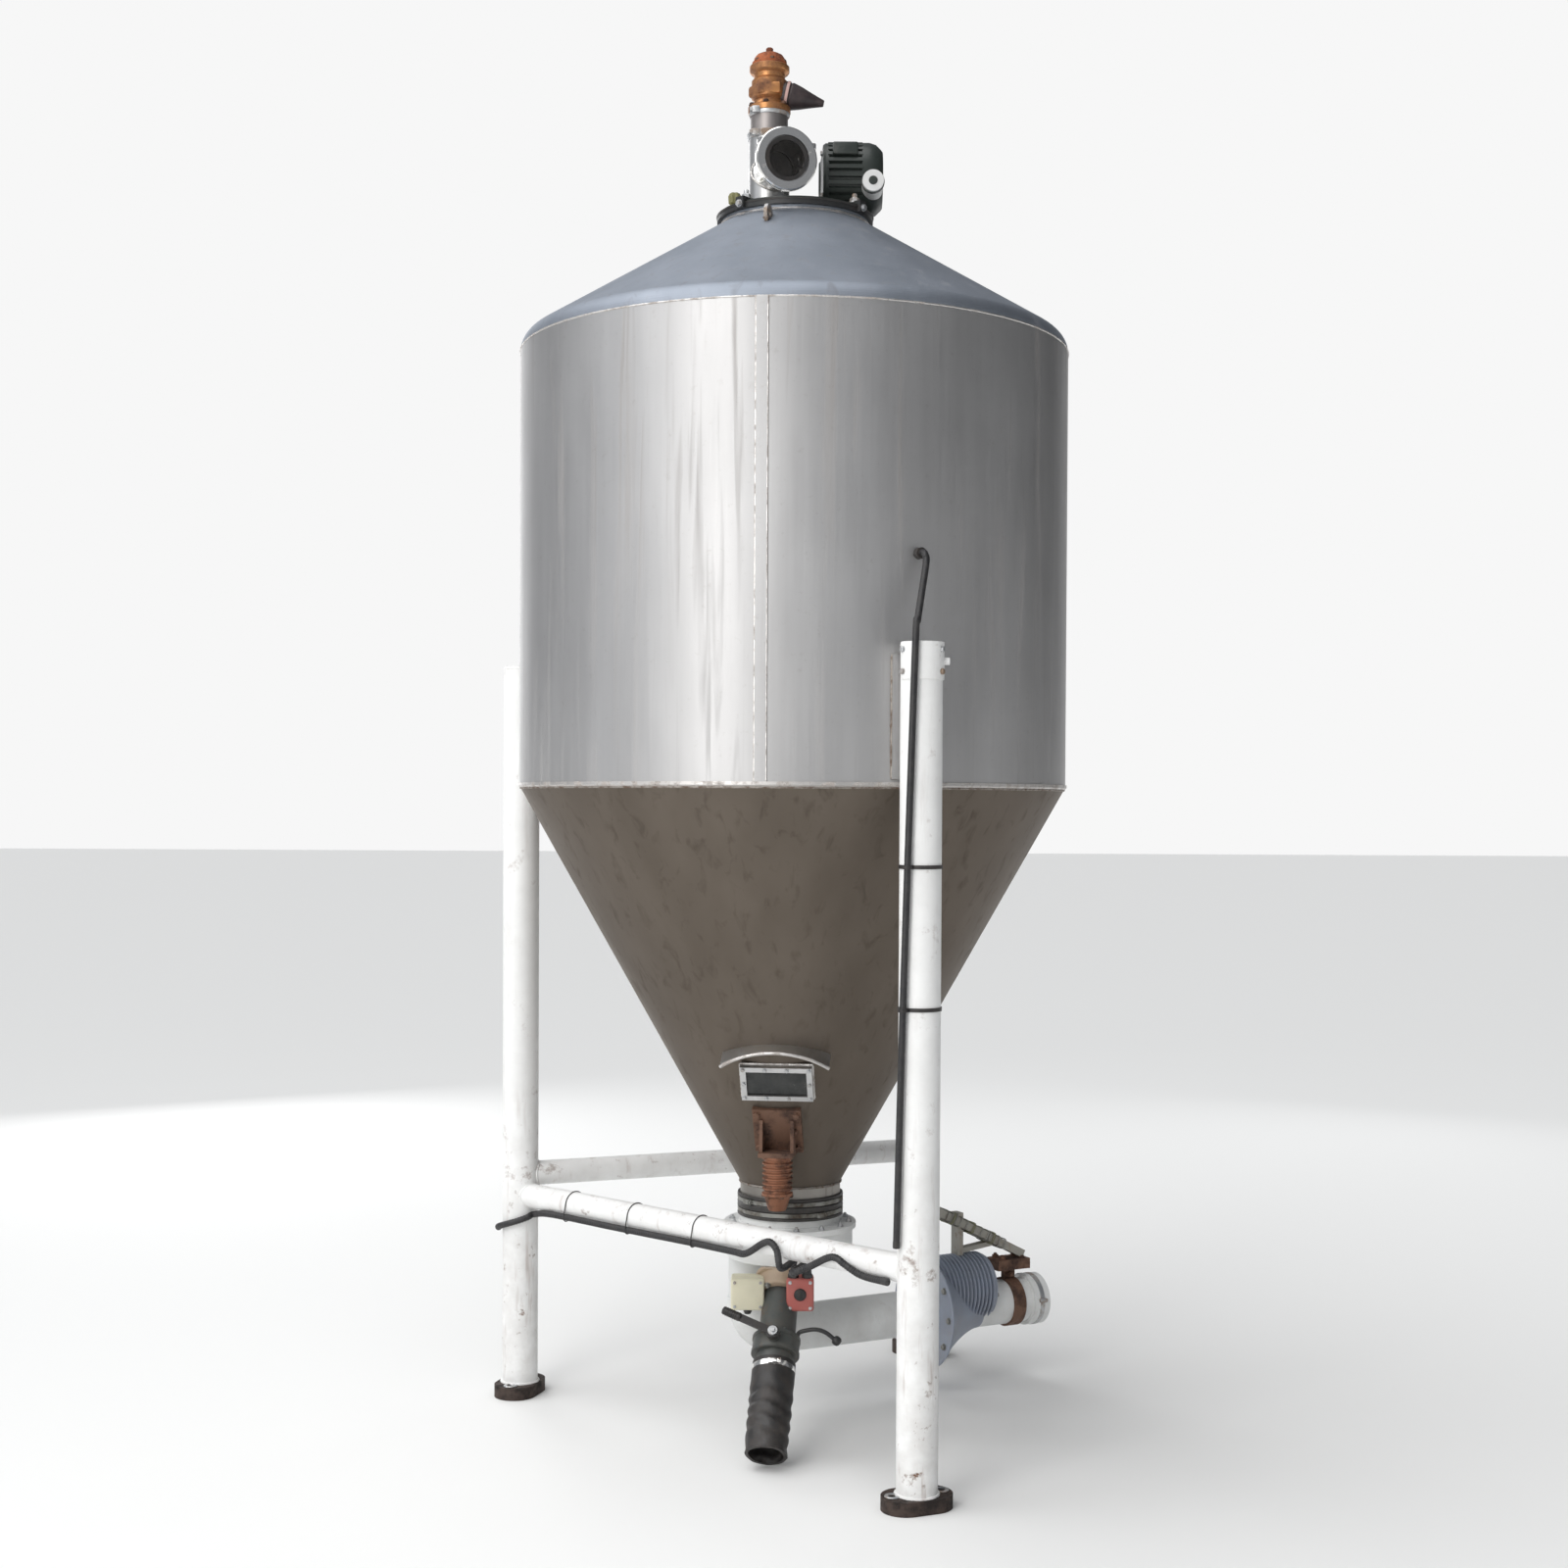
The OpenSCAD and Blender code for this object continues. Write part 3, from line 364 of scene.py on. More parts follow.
shell_steel = rolled_sheet("shell_steel", (0.56, 0.555, 0.555), (0.42, 0.415, 0.415), runs=0.42, top=knuckle_z)
roof_steel = rolled_sheet("roof_steel", (0.375, 0.405, 0.46), (0.275, 0.305, 0.35), gloss=0.46, runs=0.3, top=3.0)
hopper_steel = rolled_sheet("hopper_steel", (0.182, 0.154, 0.128), (0.132, 0.110, 0.090), gloss=0.44, runs=0.25,
                            top=shell_z, ripple=0.003, stain=(0.105, 0.09, 0.075))
plain_steel = rolled_sheet("plain_steel", (0.70, 0.70, 0.70), (0.50, 0.50, 0.50), gloss=0.24, runs=0.3, top=3.2,
                           ripple=0.0008)
vent_steel = rolled_sheet("vent_steel", (0.46, 0.42, 0.41), (0.28, 0.26, 0.25), gloss=0.34, runs=0.6, top=3.1,
                          ripple=0.0008, stain=(0.20, 0.15, 0.13))
neck_steel = rolled_sheet("neck_steel", (0.42, 0.40, 0.37), (0.25, 0.23, 0.21), gloss=0.36, runs=0.6,
                          top=0.7, ripple=0.001, stain=(0.12, 0.10, 0.09))


# %% [markdown]
# ## Painted, cast and rusty parts
# Paint is not metal: it has a colour, a soft gloss and an orange-peel skin. On a plant it chips and lets rust
# through, and dirt climbs up from the floor. One recipe covers the white legs, the cream box and the dark castings,
# since they only differ in colour, in how much is chipped and in how dirty they are.


# %% Paint with chips and dirt
def worn_paint(name, paint, rust_share=0.3, dirt_share=0.4, dirt_top=0.6, gloss=0.38,
               rust=(0.20, 0.085, 0.035), dirt=(0.24, 0.19, 0.15), skin=0.0004, chip_scale=26.0):
    f = Finish(name)
    z = f.height()
    low = 1 - z.between(0.02, dirt_top)
    blotch = f.grain(7.0, 5.0, 0.65)
    chip = (f.grain(chip_scale, 5.0, 0.7) * 0.7 + blotch * 0.3).between(0.60 - 0.05 * rust_share, 0.66)
    drip = f.grain(1.0, 4.0, 0.6, f.stretched(46, 46, 5.0)).between(0.57, 0.74)
    film = (f.grain(18.0, 4.0, 0.6).between(0.35, 0.8) * (0.15 + low * 0.85) * dirt_share).clamped()
    faded = tuple(c * 0.88 for c in paint)
    colour = f.blend(blotch.between(0.3, 0.75), faded, paint)
    colour = f.blend(film, colour, dirt)
    colour = f.blend((drip * (0.2 + low * 0.8) * rust_share).clamped(), colour, rust)
    bare = (chip * (0.25 + low * 0.75) * rust_share * 2.2).clamped()
    colour = f.blend(bare, colour, f.blend(f.grain(60.0), rust, tuple(c * 0.45 for c in rust)))
    rough = (gloss + f.grain(40.0, 3.0) * 0.15 + bare * 0.4 + film * 0.3).clamped()
    relief = f.grain(130.0, 2.0) * 0.5 - bare * 0.9 + f.grain(22.0, 2.0) * 0.4
    return f.wear(colour, rough, relief, skin)


leg_paint = worn_paint("leg_paint", (0.93, 0.93, 0.92), 0.55, 0.36, 0.85)
line_paint = worn_paint("line_paint", (0.82, 0.83, 0.82), 0.14, 0.35, 0.35)
cream_paint = worn_paint("cream_paint", (0.78, 0.74, 0.56), 0.10, 0.25, 0.40)
red_paint = worn_paint("red_paint", (0.50, 0.13, 0.11), 0.22, 0.35, 0.45, dirt=(0.42, 0.33, 0.29))
tan_casting = worn_paint("tan_casting", (0.50, 0.38, 0.27), 0.35, 0.5, 0.5, skin=0.0008)
dark_casting = worn_paint("dark_casting", (0.030, 0.038, 0.034), 0.12, 0.30, 3.4, gloss=0.30,
                          dirt=(0.11, 0.10, 0.08), skin=0.0007)
spout_paint = worn_paint("spout_paint", (0.060, 0.070, 0.068), 0.30, 0.5, 0.5, gloss=0.34)
blower_paint = worn_paint("blower_paint", (0.30, 0.34, 0.42), 0.18, 0.45, 0.42, gloss=0.35)
bracket_paint = worn_paint("bracket_paint", (0.34, 0.33, 0.29), 0.55, 0.6, 0.7, skin=0.0008)
cap_paint = worn_paint("cap_paint", (0.80, 0.80, 0.79), 0.10, 0.5, 3.3, dirt=(0.30, 0.27, 0.24))
olive_plastic = worn_paint("olive_plastic", (0.20, 0.19, 0.075), 0.05, 0.4, 3.2, gloss=0.42)
rim_black = worn_paint("rim_black", (0.022, 0.023, 0.024), 0.16, 0.35, 3.2, gloss=0.36, dirt=(0.13, 0.12, 0.11))

# %% Bare, cast and rusty metal
def aged_metal(name, clean, tarnish, share=0.5, gloss=0.34, metal=0.9, relief_depth=0.0008, scale=16.0):
    """Metal that turns from its clean colour to its tarnish in cloudy patches."""
    f = Finish(name)
    cloud = f.grain(scale, 5.0, 0.65)
    patch = cloud.between(0.62 - 0.34 * share, 0.70 - 0.18 * share)
    pit = f.grain(scale * 9, 3.0, 0.7).between(0.5, 0.72)
    colour = f.blend(patch, clean, f.blend(pit, tarnish, tuple(c * 0.45 for c in tarnish)))
    rough = (gloss + patch * 0.34 + f.grain(90.0) * 0.12).clamped()
    relief = f.grain(scale * 5, 3.0, 0.6) * 0.5 + patch * 0.25 - pit * patch * 0.5
    return f.wear(colour, rough, relief, relief_depth, (1 - patch * 0.75) * metal)


chrome = aged_metal("chrome", (0.83, 0.82, 0.80), (0.42, 0.38, 0.33), 0.15, 0.13, 1.0, 0.0002)
zinc = aged_metal("zinc", (0.55, 0.56, 0.57), (0.30, 0.22, 0.16), 0.35, 0.36)
brass = aged_metal("brass", (0.50, 0.235, 0.095), (0.20, 0.085, 0.040), 0.55, 0.30, 0.85)
rusty_cap = aged_metal("rusty_cap", (0.40, 0.11, 0.035), (0.17, 0.055, 0.03), 0.5, 0.6, 0.15, 0.0015)
rusty_brown = aged_metal("rusty_brown", (0.170, 0.092, 0.060), (0.075, 0.042, 0.031), 0.5, 0.58, 0.3, 0.0015, 22.0)
rusty_copper = aged_metal("rusty_copper", (0.30, 0.135, 0.078), (0.115, 0.055, 0.036), 0.45, 0.46, 0.55, 0.0010, 30.0)
foot_iron = aged_metal("foot_iron", (0.055, 0.036, 0.028), (0.022, 0.016, 0.014), 0.5, 0.55, 0.2, 0.0015, 24.0)
weld_bright = aged_metal("weld_bright", (0.62, 0.60, 0.58), (0.46, 0.42, 0.39), 0.40, 0.36, 1.0, 0.0004, 40.0)
weld_dull = aged_metal("weld_dull", (0.34, 0.31, 0.28), (0.17, 0.12, 0.09), 0.5, 0.45, 0.8, 0.0004, 60.0)


# %% [markdown]
# Rubber and the cable sheaths are dark but never black: dust lies on them in patches and dulls what shine they
# have. The window's pane is glossy, smeared and opaque; its near-black is painted shade for the tank's dark inside.

# %% Rubber and glass
def dusty_dark(name, body, dust, dust_share=0.5, gloss=0.5, scale=24.0, depth=0.0006):
    f = Finish(name)
    cloud = f.grain(scale, 5.0, 0.65).between(0.42, 0.78)
    smear = f.grain(1.0, 3.0, 0.6, f.stretched(scale * 2, scale * 2, scale * 0.5)).between(0.45, 0.8)
    colour = f.blend((cloud * 0.6 + smear * 0.4) * dust_share, body, dust)
    rough = (gloss + cloud * 0.25).clamped()
    return f.wear(colour, rough, f.grain(scale * 8, 3.0) * 0.6 + cloud * 0.3, depth)


rubber = dusty_dark("rubber", (0.020, 0.019, 0.019), (0.12, 0.095, 0.08), 0.45, 0.46)
cable_sheath = dusty_dark("cable_sheath", (0.016, 0.016, 0.018), (0.13, 0.12, 0.11), 0.35, 0.42, 60.0)
band_rubber = dusty_dark("band_rubber", (0.030, 0.028, 0.027), (0.17, 0.15, 0.13), 0.45, 0.42)
horn_rubber = dusty_dark("horn_rubber", (0.030, 0.022, 0.024), (0.13, 0.09, 0.085), 0.5, 0.40, 40.0)
# The glass's near-black colour is painted shade for the dark inside of the tank; the smears on it are real.
smeared_glass_painted_shade = dusty_dark("smeared_glass_painted_shade", (0.012, 0.014, 0.014), (0.17, 0.17, 0.16), 0.35, 0.10, 12.0, 0.0003)
pink_primer = worn_paint("pink_primer", (0.62, 0.40, 0.36), 0.2, 0.3, 3.2)
steel_wire = aged_metal("steel_wire", (0.30, 0.30, 0.28), (0.10, 0.08, 0.06), 0.5, 0.45, 0.7)
olive_tape = worn_paint("olive_tape", (0.16, 0.165, 0.10), 0.1, 0.6, 0.6, gloss=0.5)

# %% [markdown]
# The measured parts already have the right size and place, so most of them only need their finish. A part is given
# its finish by filling its material slots; its mesh stays as it was measured.

# %% Dress the measured parts
DRESS = {
    shell_steel: "shell_cylinder shell_seam leg_saddles",
    roof_steel: "roof_cone roof_collar",
    hopper_steel: "hopper_cone",
    weld_bright: "hopper_ring",
    zinc: "roof_eye gate_stem",
    plain_steel: "inlet_tee window_frame window_hood",
    vent_steel: "vent_pipe",
    rim_black: "manway_flange lid_clamps",
    dark_casting: "manway_lid",
    leg_paint: "leg_front leg_left leg_back brace_front brace_back brace_side front_leg_sleeve",
    foot_iron: "foot_plates",
    smeared_glass_painted_shade: "window_glass",
    rusty_brown: "vibrator_bracket line_hanger",
    neck_steel: "outlet_neck",
    line_paint: "outlet_box conveying_line",
    bracket_paint: "blower_bracket",
    spout_paint: "spout_pipe gate_body",
    cap_paint: "motor_cap",
    rubber: "cable_fixings gate_lever",
}
for finish, names in DRESS.items():
    for name in names.split():
        nodes[name].data.materials.clear()
        nodes[name].data.materials.append(finish)
print(sum(len(names.split()) for names in DRESS.values()), "measured parts dressed")


# %% [markdown]
# ## Tools of the workshop
# New pieces are made the way a shop makes them: turned on a lathe, bent along a path, or milled from a block. Each
# tool adds its shape to a bmesh, so that one piece can hold many bolts or beads.


# %% Lathe, bender and mill
def turn(bm, profile, frame=Matrix.Identity(4), steps=64, closed=False, swell=None):
    """Spins (radius, height) points about the frame's Z. swell(angle, height) multiplies the radius."""
    rings = []
    for radius, height in profile:
        count = steps if radius > 0 else 1
        ring = []
        for k in range(count):
            angle = 2 * math.pi * k / steps
            r = radius * (swell(angle, height) if swell else 1)
            ring.append(bm.verts.new(frame @ Vector((r * math.cos(angle), r * math.sin(angle), height))))
        rings.append(ring)
    pairs = list(zip(rings, rings[1:])) + ([(rings[-1], rings[0])] if closed else [])
    for a, b in pairs:
        for k in range(steps):
            corners = (a[k % len(a)], a[(k + 1) % len(a)], b[(k + 1) % len(b)], b[k % len(b)])
            face = list(dict.fromkeys(corners))
            if len(face) > 2:
                bm.faces.new(face)


def hoop(bm, frame, at, half, inner, outer, steps=96):
    """A flat ring round the frame's Z at the height at, with its two outer edges eased by a millimetre."""
    turn(bm, [(inner, at - half), (outer, at - half + 0.001), (outer, at + half - 0.001), (inner, at + half)],
         frame, steps, True)


def bend(bm, path, radius, sides=10, closed=False):
    """Runs a round bar along points. radius is a number or a function of the point's index."""
    count = len(path)
    rings, side = [], None
    for i, point in enumerate(path):
        ahead = path[(i + 1) % count] if closed else path[min(i + 1, count - 1)]
        behind = path[i - 1] if closed else path[max(i - 1, 0)]
        run = (ahead - behind).normalized()
        if side is None:
            side = run.orthogonal()
        side = (side - run * side.dot(run)).normalized()
        other = run.cross(side)
        r = radius(i) if callable(radius) else radius
        angles = [2 * math.pi * k / sides for k in range(sides)]
        rings.append([bm.verts.new(point + (side * math.cos(a) + other * math.sin(a)) * r) for a in angles])
    for a, b in list(zip(rings, rings[1:])) + ([(rings[-1], rings[0])] if closed else []):
        for k in range(sides):
            bm.faces.new((a[k], a[(k + 1) % sides], b[(k + 1) % sides], b[k]))
    if not closed:
        bm.faces.new(rings[0][::-1])
        bm.faces.new(rings[-1])


def mill(bm, size, frame, bevel=0.0, rounds=2):
    """A block round the frame's origin with its edges eased."""
    made = bmesh.ops.create_cube(bm, size=1.0, matrix=frame @ Matrix.Diagonal((*size, 1)))
    if bevel:
        edges = {e for v in made["verts"] for e in v.link_edges}
        bmesh.ops.bevel(bm, geom=list(edges), offset=bevel, segments=rounds, affect="EDGES", profile=0.5)


def rounded(path, steps=8, closed=False):
    """More points on a smooth curve through the given ones."""
    out, count = [], len(path)
    for i in range(count if closed else count - 1):
        if closed:
            p = [path[(i + k - 1) % count] for k in range(4)]
        else:
            p = [path[min(max(i + k - 1, 0), count - 1)] for k in range(4)]
        for s in range(steps):
            t = s / steps
            out.append(0.5 * (2 * p[1] + (p[2] - p[0]) * t + (2 * p[0] - 5 * p[1] + 4 * p[2] - p[3]) * t * t
                              + (3 * p[1] - 3 * p[2] + p[3] - p[0]) * t ** 3))
    return out if closed else out + [path[-1]]


def circle(frame, radius, count, start=0.0, turn_by=2 * math.pi):
    """Points on a circle about the frame's Z."""
    angles = [start + turn_by * k / count for k in range(count)]
    return [frame @ Vector((radius * math.cos(a), radius * math.sin(a), 0)) for a in angles]


# %% [markdown]
# A bolt is a washer, a six-sided head with its corners turned off, and often the end of a thread. A weld is a thin
# bar whose thickness swells and shrinks with each dab of the torch. Both repeat so often that they are tools too.


# %% Bolts and weld beads
def bolt(bm, at, out, size=0.010, stud=0.0):
    """A hexagon head of a thread size, standing at a point and looking along out."""
    frame = along(at - out.normalized() * size * 0.15, at + out)
    turn(bm, [(0, 0), (size * 1.12, 0), (size * 1.12, size * 0.28), (0, size * 0.28)], frame, 18)
    turn(bm, [(0, size * 0.28), (size * 0.92, size * 0.28), (size * 0.92, size * 0.86), (size * 0.78, size),
              (0, size)], frame, 6)
    if stud:
        turn(bm, [(0, size), (size * 0.5, size), (size * 0.5, size + stud * 0.8), (size * 0.38, size + stud),
                  (0, size + stud)], frame, 12)


def bolts_round(bm, frame, radius, count, size, start=0.0, stud=0.0, height=0.0):
    """Bolts on a circle about the frame's Z, looking along it."""
    out = (frame.to_3x3() @ Vector((0, 0, 1))).normalized()
    for at in circle(frame @ move(0, 0, height), radius, count, math.radians(start)):
        bolt(bm, at, out, size, stud)


def bead(bm, path, radius=0.003, closed=False, dab=0.006):
    """A weld along a path, one swelling for every dab."""
    length = sum((b - a).length for a, b in zip(path, path[1:]))
    steps = max(1, round(length / max(1, len(path) - 1) / (dab / 3)))
    fine = []
    for a, b in zip(path, path[1:] + (path[:1] if closed else [])):
        fine += [a.lerp(b, s / steps) for s in range(steps)]
    if not closed:
        fine.append(path[-1])
    bend(bm, fine, lambda i: radius * (0.84 + 0.22 * ((i % 3) / 2) + 0.08 * math.sin(i * 0.7)), 6, closed)


def ring_bead(bm, frame, radius, size=0.003, dab=0.008):
    bead(bm, circle(frame, radius, 96), size, True, dab)


# %% [markdown]
# Every new piece ends the same way: its faces are turned outwards, it gets a finish, edges sharper than a set angle
# stay crisp, and it is fastened to one of the two bodies. If it stands for a measured part, that part is hidden.


# %% Finish a piece
def piece(name, bm, finish, stands_for=(), body="silo", crisp=35):
    bmesh.ops.recalc_face_normals(bm, faces=bm.faces)
    mesh = bpy.data.meshes.new(name)
    bm.to_mesh(mesh)
    bm.free()
    mesh.shade_smooth()
    mesh.set_sharp_from_angle(angle=math.radians(crisp))
    mesh.materials.append(finish)
    made = bpy.data.objects.new(name, mesh)
    scene.collection.objects.link(made)
    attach(made, body)
    if stands_for:
        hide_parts(*stands_for)
    print(f"{name}: {len(mesh.polygons)} faces")
    return made


def on_axis(z):
    """A frame on the tank's axis, Z up."""
    return move(tank_x, tank_y, z)


# %% [markdown]
# ## The tank's seams
# Rolled sheets meet in welds. The shell has its cover strip in front and a plain weld at the back, the roof and the
# hopper each have one seam, and rings of weld run where cone meets shell, collar and neck.

# %% Welds on the tank
seam_low, seam_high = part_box("shell_seam")
bm = bmesh.new()
SEAM_AZIMUTH, SEAM_HALF = -6.0, 1.12
BACK_SEAM, ROOF_SEAM, HOPPER_SEAM = 176, 178, 172
for side in (-1, 1):
    azimuth = SEAM_AZIMUTH + side * SEAM_HALF
    bead(bm, [around(azimuth, shell_r + 0.0006, seam_low.z), around(azimuth, shell_r + 0.0006, seam_high.z)], 0.0022)
bead(bm, [around(BACK_SEAM, shell_r, shell_z + 0.008), around(BACK_SEAM, shell_r, knuckle_z)], 0.0026)
ring_bead(bm, on_axis(knuckle_z), shell_r - 0.0004, 0.0024)
bead(bm, [around(ROOF_SEAM, shell_r - 0.03, knuckle_z + 0.03),
          around(ROOF_SEAM, collar_r + 0.004, collar_low.z + 0.012)], 0.0024)
ring_bead(bm, on_axis(collar_low.z + 0.0115), collar_r + 0.0012, 0.0032)
piece("tank_welds", bm, weld_bright)

bm = bmesh.new()
bead(bm, [around(HOPPER_SEAM, hopper_r(z), z) for z in (shell_z - 0.01, hopper_z + 0.004)], 0.0026)
ring_bead(bm, on_axis(hopper_z), outlet_r + 0.0008, 0.0032)
ring_bead(bm, on_axis(shell_z - 0.006), shell_r - 0.0032, 0.0024)
piece("hopper_welds", bm, weld_dull)

# %% [markdown]
# ## The lid and its clamps
# The manhole's lid is held by four claws, each drawn down by a bolt, over a rubber ring. Three star knobs stand on
# the lid. A star knob is a cylinder whose radius swells six times on its way round.

# %% Lid fittings
flange_low, flange_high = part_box("manway_flange")
rim_r = (flange_high.x - flange_low.x) / 2
bm = bmesh.new()
turn(bm, [(rim_r - 0.012, flange_high.z - 0.002), (rim_r + 0.001, flange_high.z - 0.002),
          (rim_r + 0.002, flange_high.z + 0.002), (rim_r - 0.012, flange_high.z + 0.003)], on_axis(0), 96, True)
piece("lid_gasket", bm, rubber)

CLAMP_AZIMUTHS = (-42, 55, 138, 222)
bm = bmesh.new()
for azimuth in CLAMP_AZIMUTHS:
    bolt(bm, around(azimuth, rim_r - 0.016, lid_top + 0.008), Vector((0, 0, 1)), 0.012, 0.010)
    bolt(bm, around(azimuth, rim_r + 0.008, flange_low.z + 0.010), around(azimuth, 1, 0) - around(azimuth, 0, 0), 0.008)
bolts_round(bm, on_axis(lid_top), 0.128, 10, 0.008, 12)
piece("lid_bolts", bm, zinc)

KNOB_AZIMUTHS = (-68, 165, 195)
knob_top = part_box("lid_knobs")[1].z
bm = bmesh.new()
for azimuth in KNOB_AZIMUTHS:
    frame_here = Matrix.Translation(around(azimuth, collar_r - 0.022, 0))
    turn(bm, [(0, lid_top), (0.010, lid_top), (0.010, lid_top + 0.012), (0.0145, lid_top + 0.015),
              (0.0155, knob_top - 0.008), (0.012, knob_top - 0.001), (0, knob_top)],
         frame_here, 48, swell=lambda a, h: 1 - (0.10 - 0.10 * math.cos(6 * a)) * (h > lid_top + 0.013))
piece("star_knobs", bm, olive_plastic, ["lid_knobs"])

EYE_AZIMUTH = -15
bm = bmesh.new()
for side in (-1, 1):
    frame_here = at_azimuth(EYE_AZIMUTH, collar_r + 0.06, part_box("roof_eye")[0].z + 0.010)
    bead(bm, [frame_here @ Vector((side * 0.0045, -0.024, -0.004)), frame_here @ Vector((side * 0.0045, 0.024, 0.012))],
         0.0026)
piece("eye_welds", bm, weld_dull)

# %% [markdown]
# ## The filling head
# The inlet tee stands on a welded foot and ends in a quick coupling: a bright ring with a chamfer, a groove for the
# hose's claws, a rubber seat in its mouth and three locking lugs. A black disc a little way into the bore is painted
# shade for the pipe's dark inside. The pipe's direction is where it points on the tank's clock face, 17 degrees.

# %% Tee and coupling
tee_low, tee_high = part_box("inlet_tee")
stack = Vector(((tee_low.x + tee_high.x) / 2, (tee_low.y + tee_high.y) / 2, 0))
tee_r = (tee_high.x - tee_low.x) / 2
FILL_AZIMUTH, FILL_LENGTH, FILL_R, FILL_BORE, COUPLING_R = 17, 0.148, 0.047, 0.043, 0.073
fill_z = (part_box("fill_pipe")[0].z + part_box("fill_pipe")[1].z) / 2
fill_frame = move(stack.x, stack.y, fill_z) @ spin(FILL_AZIMUTH, "Z") @ spin(90, "X")
ring_from = FILL_LENGTH - 0.016
bm = bmesh.new()
turn(bm, [(FILL_BORE, 0.030), (FILL_R, 0.030), (FILL_R, ring_from - 0.002), (FILL_R + 0.004, ring_from),
          (COUPLING_R - 0.002, ring_from), (COUPLING_R, ring_from + 0.002), (COUPLING_R, ring_from + 0.005),
          (COUPLING_R - 0.003, ring_from + 0.0065), (COUPLING_R, ring_from + 0.008),
          (COUPLING_R, FILL_LENGTH - 0.003), (COUPLING_R - 0.003, FILL_LENGTH), (FILL_BORE + 0.010, FILL_LENGTH),
          (FILL_BORE + 0.009, FILL_LENGTH - 0.004), (FILL_BORE, FILL_LENGTH - 0.004)], fill_frame, 96, True)
for at in circle(fill_frame @ move(0, 0, ring_from + 0.008), COUPLING_R - 0.004, 3, 0.5):
    mill(bm, (0.020, 0.016, 0.013), Matrix.Translation(at) @ fill_frame.to_3x3().to_4x4(), 0.003)
piece("fill_coupling", bm, chrome, ["fill_pipe"])

bm = bmesh.new()
turn(bm, [(FILL_BORE - 0.001, FILL_LENGTH - 0.006), (FILL_BORE + 0.008, FILL_LENGTH - 0.006),
          (FILL_BORE + 0.008, FILL_LENGTH - 0.001), (FILL_BORE - 0.001, FILL_LENGTH - 0.002)], fill_frame, 96, True)
# The disc across the bore a little way in is painted shade: a dark sheet for the dark inside of the pipe.
turn(bm, [(0, 0.052), (FILL_BORE - 0.0004, 0.052), (FILL_BORE - 0.0004, 0.050), (0, 0.050)], fill_frame, 64)
piece("coupling_seat_and_painted_bore_shade", bm, rubber)

stack_at = Matrix.Translation(stack)
vent_low, vent_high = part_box("vent_pipe")
vent_r = (vent_high.x - vent_low.x) / 2
bm = bmesh.new()
ring_bead(bm, stack_at @ move(0, 0, lid_top + 0.0005), tee_r + 0.001, 0.0035)
saddle = [fill_frame @ Vector((FILL_R * math.cos(a), FILL_R * math.sin(a),
                               math.sqrt(max(tee_r ** 2 - (FILL_R * math.cos(a)) ** 2, 0)) + 0.001))
          for a in [2 * math.pi * k / 60 for k in range(60)]]
bead(bm, saddle, 0.003, True)
piece("tee_welds", bm, weld_bright)

bm = bmesh.new()
for z, r in ((tee_high.z, tee_r), (vent_high.z, vent_r)):
    turn(bm, [(r - 0.004, z - 0.008), (r + 0.002, z - 0.008), (r + 0.0045, z - 0.004), (r + 0.0045, z + 0.004),
              (r + 0.002, z + 0.008), (r - 0.004, z + 0.008)], stack_at, 72, True)
    ear = stack_at @ move(-0.030, -r * 0.88, z)
    mill(bm, (0.020, 0.014, 0.016), ear, 0.003)
    bolt(bm, ear @ Vector((-0.010, 0, 0)), Vector((-1, 0, 0)), 0.007)
piece("pipe_clamps", bm, zinc)

# %% [markdown]
# The relief valve on top is a brass body between two bolted flanges, with a rusty spring bonnet and, at its side, a
# rubber horn that throws the blown-off air away. Turned profiles make all of them; the body's middle is a hexagon,
# which is a profile spun in only six steps.

# %% Relief valve
relief_low, relief_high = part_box("relief_valve")
z0, z1, r0 = relief_low.z, relief_high.z, (relief_high.y - relief_low.y) / 2
bm = bmesh.new()
turn(bm, [(0, z0), (r0 - 0.002, z0), (r0, z0 + 0.002), (r0, z0 + 0.014), (r0 - 0.003, z0 + 0.017),
          (r0 - 0.012, z0 + 0.020), (r0 - 0.015, z0 + 0.030), (r0 - 0.008, z0 + 0.036), (r0 - 0.008, z1 - 0.036),
          (r0 - 0.014, z1 - 0.030), (r0 - 0.012, z1 - 0.020), (r0 - 0.005, z1 - 0.016), (r0 - 0.003, z1 - 0.013),
          (r0 - 0.003, z1 - 0.002), (r0 - 0.005, z1), (0, z1)], stack_at, 72)
turn(bm, [(0, z0 + 0.040), (r0 - 0.003, z0 + 0.040), (r0 - 0.001, z0 + 0.044), (r0 - 0.001, z0 + 0.060),
          (r0 - 0.003, z0 + 0.064), (0, z0 + 0.064)], stack_at, 6)
piece("relief_body", bm, brass, ["relief_valve"])

bonnet_low, bonnet_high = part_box("relief_bonnet")
b0, b1, br = bonnet_low.z, bonnet_high.z, (bonnet_high.x - bonnet_low.x) / 2
bm = bmesh.new()
turn(bm, [(0, b0), (br, b0), (br, b0 + 0.008), (br - 0.004, b0 + 0.011), (br - 0.005, b0 + 0.018),
          (br - 0.010, b0 + 0.025), (br - 0.020, b0 + 0.030), (0.010, b0 + 0.031), (0, b0 + 0.031)], stack_at, 72,
     swell=lambda a, h: 1 - 0.035 * (math.cos(9 * a) > 0.2) * (h > b0 + 0.010))
turn(bm, [(0, b0 + 0.030), (0.0085, b0 + 0.030), (0.0085, b1 - 0.002), (0.007, b1), (0, b1)], stack_at, 6)
piece("spring_bonnet", bm, rusty_cap, ["relief_bonnet"])

bm = bmesh.new()
bolts_round(bm, stack_at @ move(0, 0, z0 + 0.017), r0 - 0.007, 6, 0.007, 20)
bolts_round(bm, stack_at @ move(0, 0, b0 + 0.008), br - 0.005, 6, 0.006, 40)
piece("relief_bolts", bm, rusty_brown)

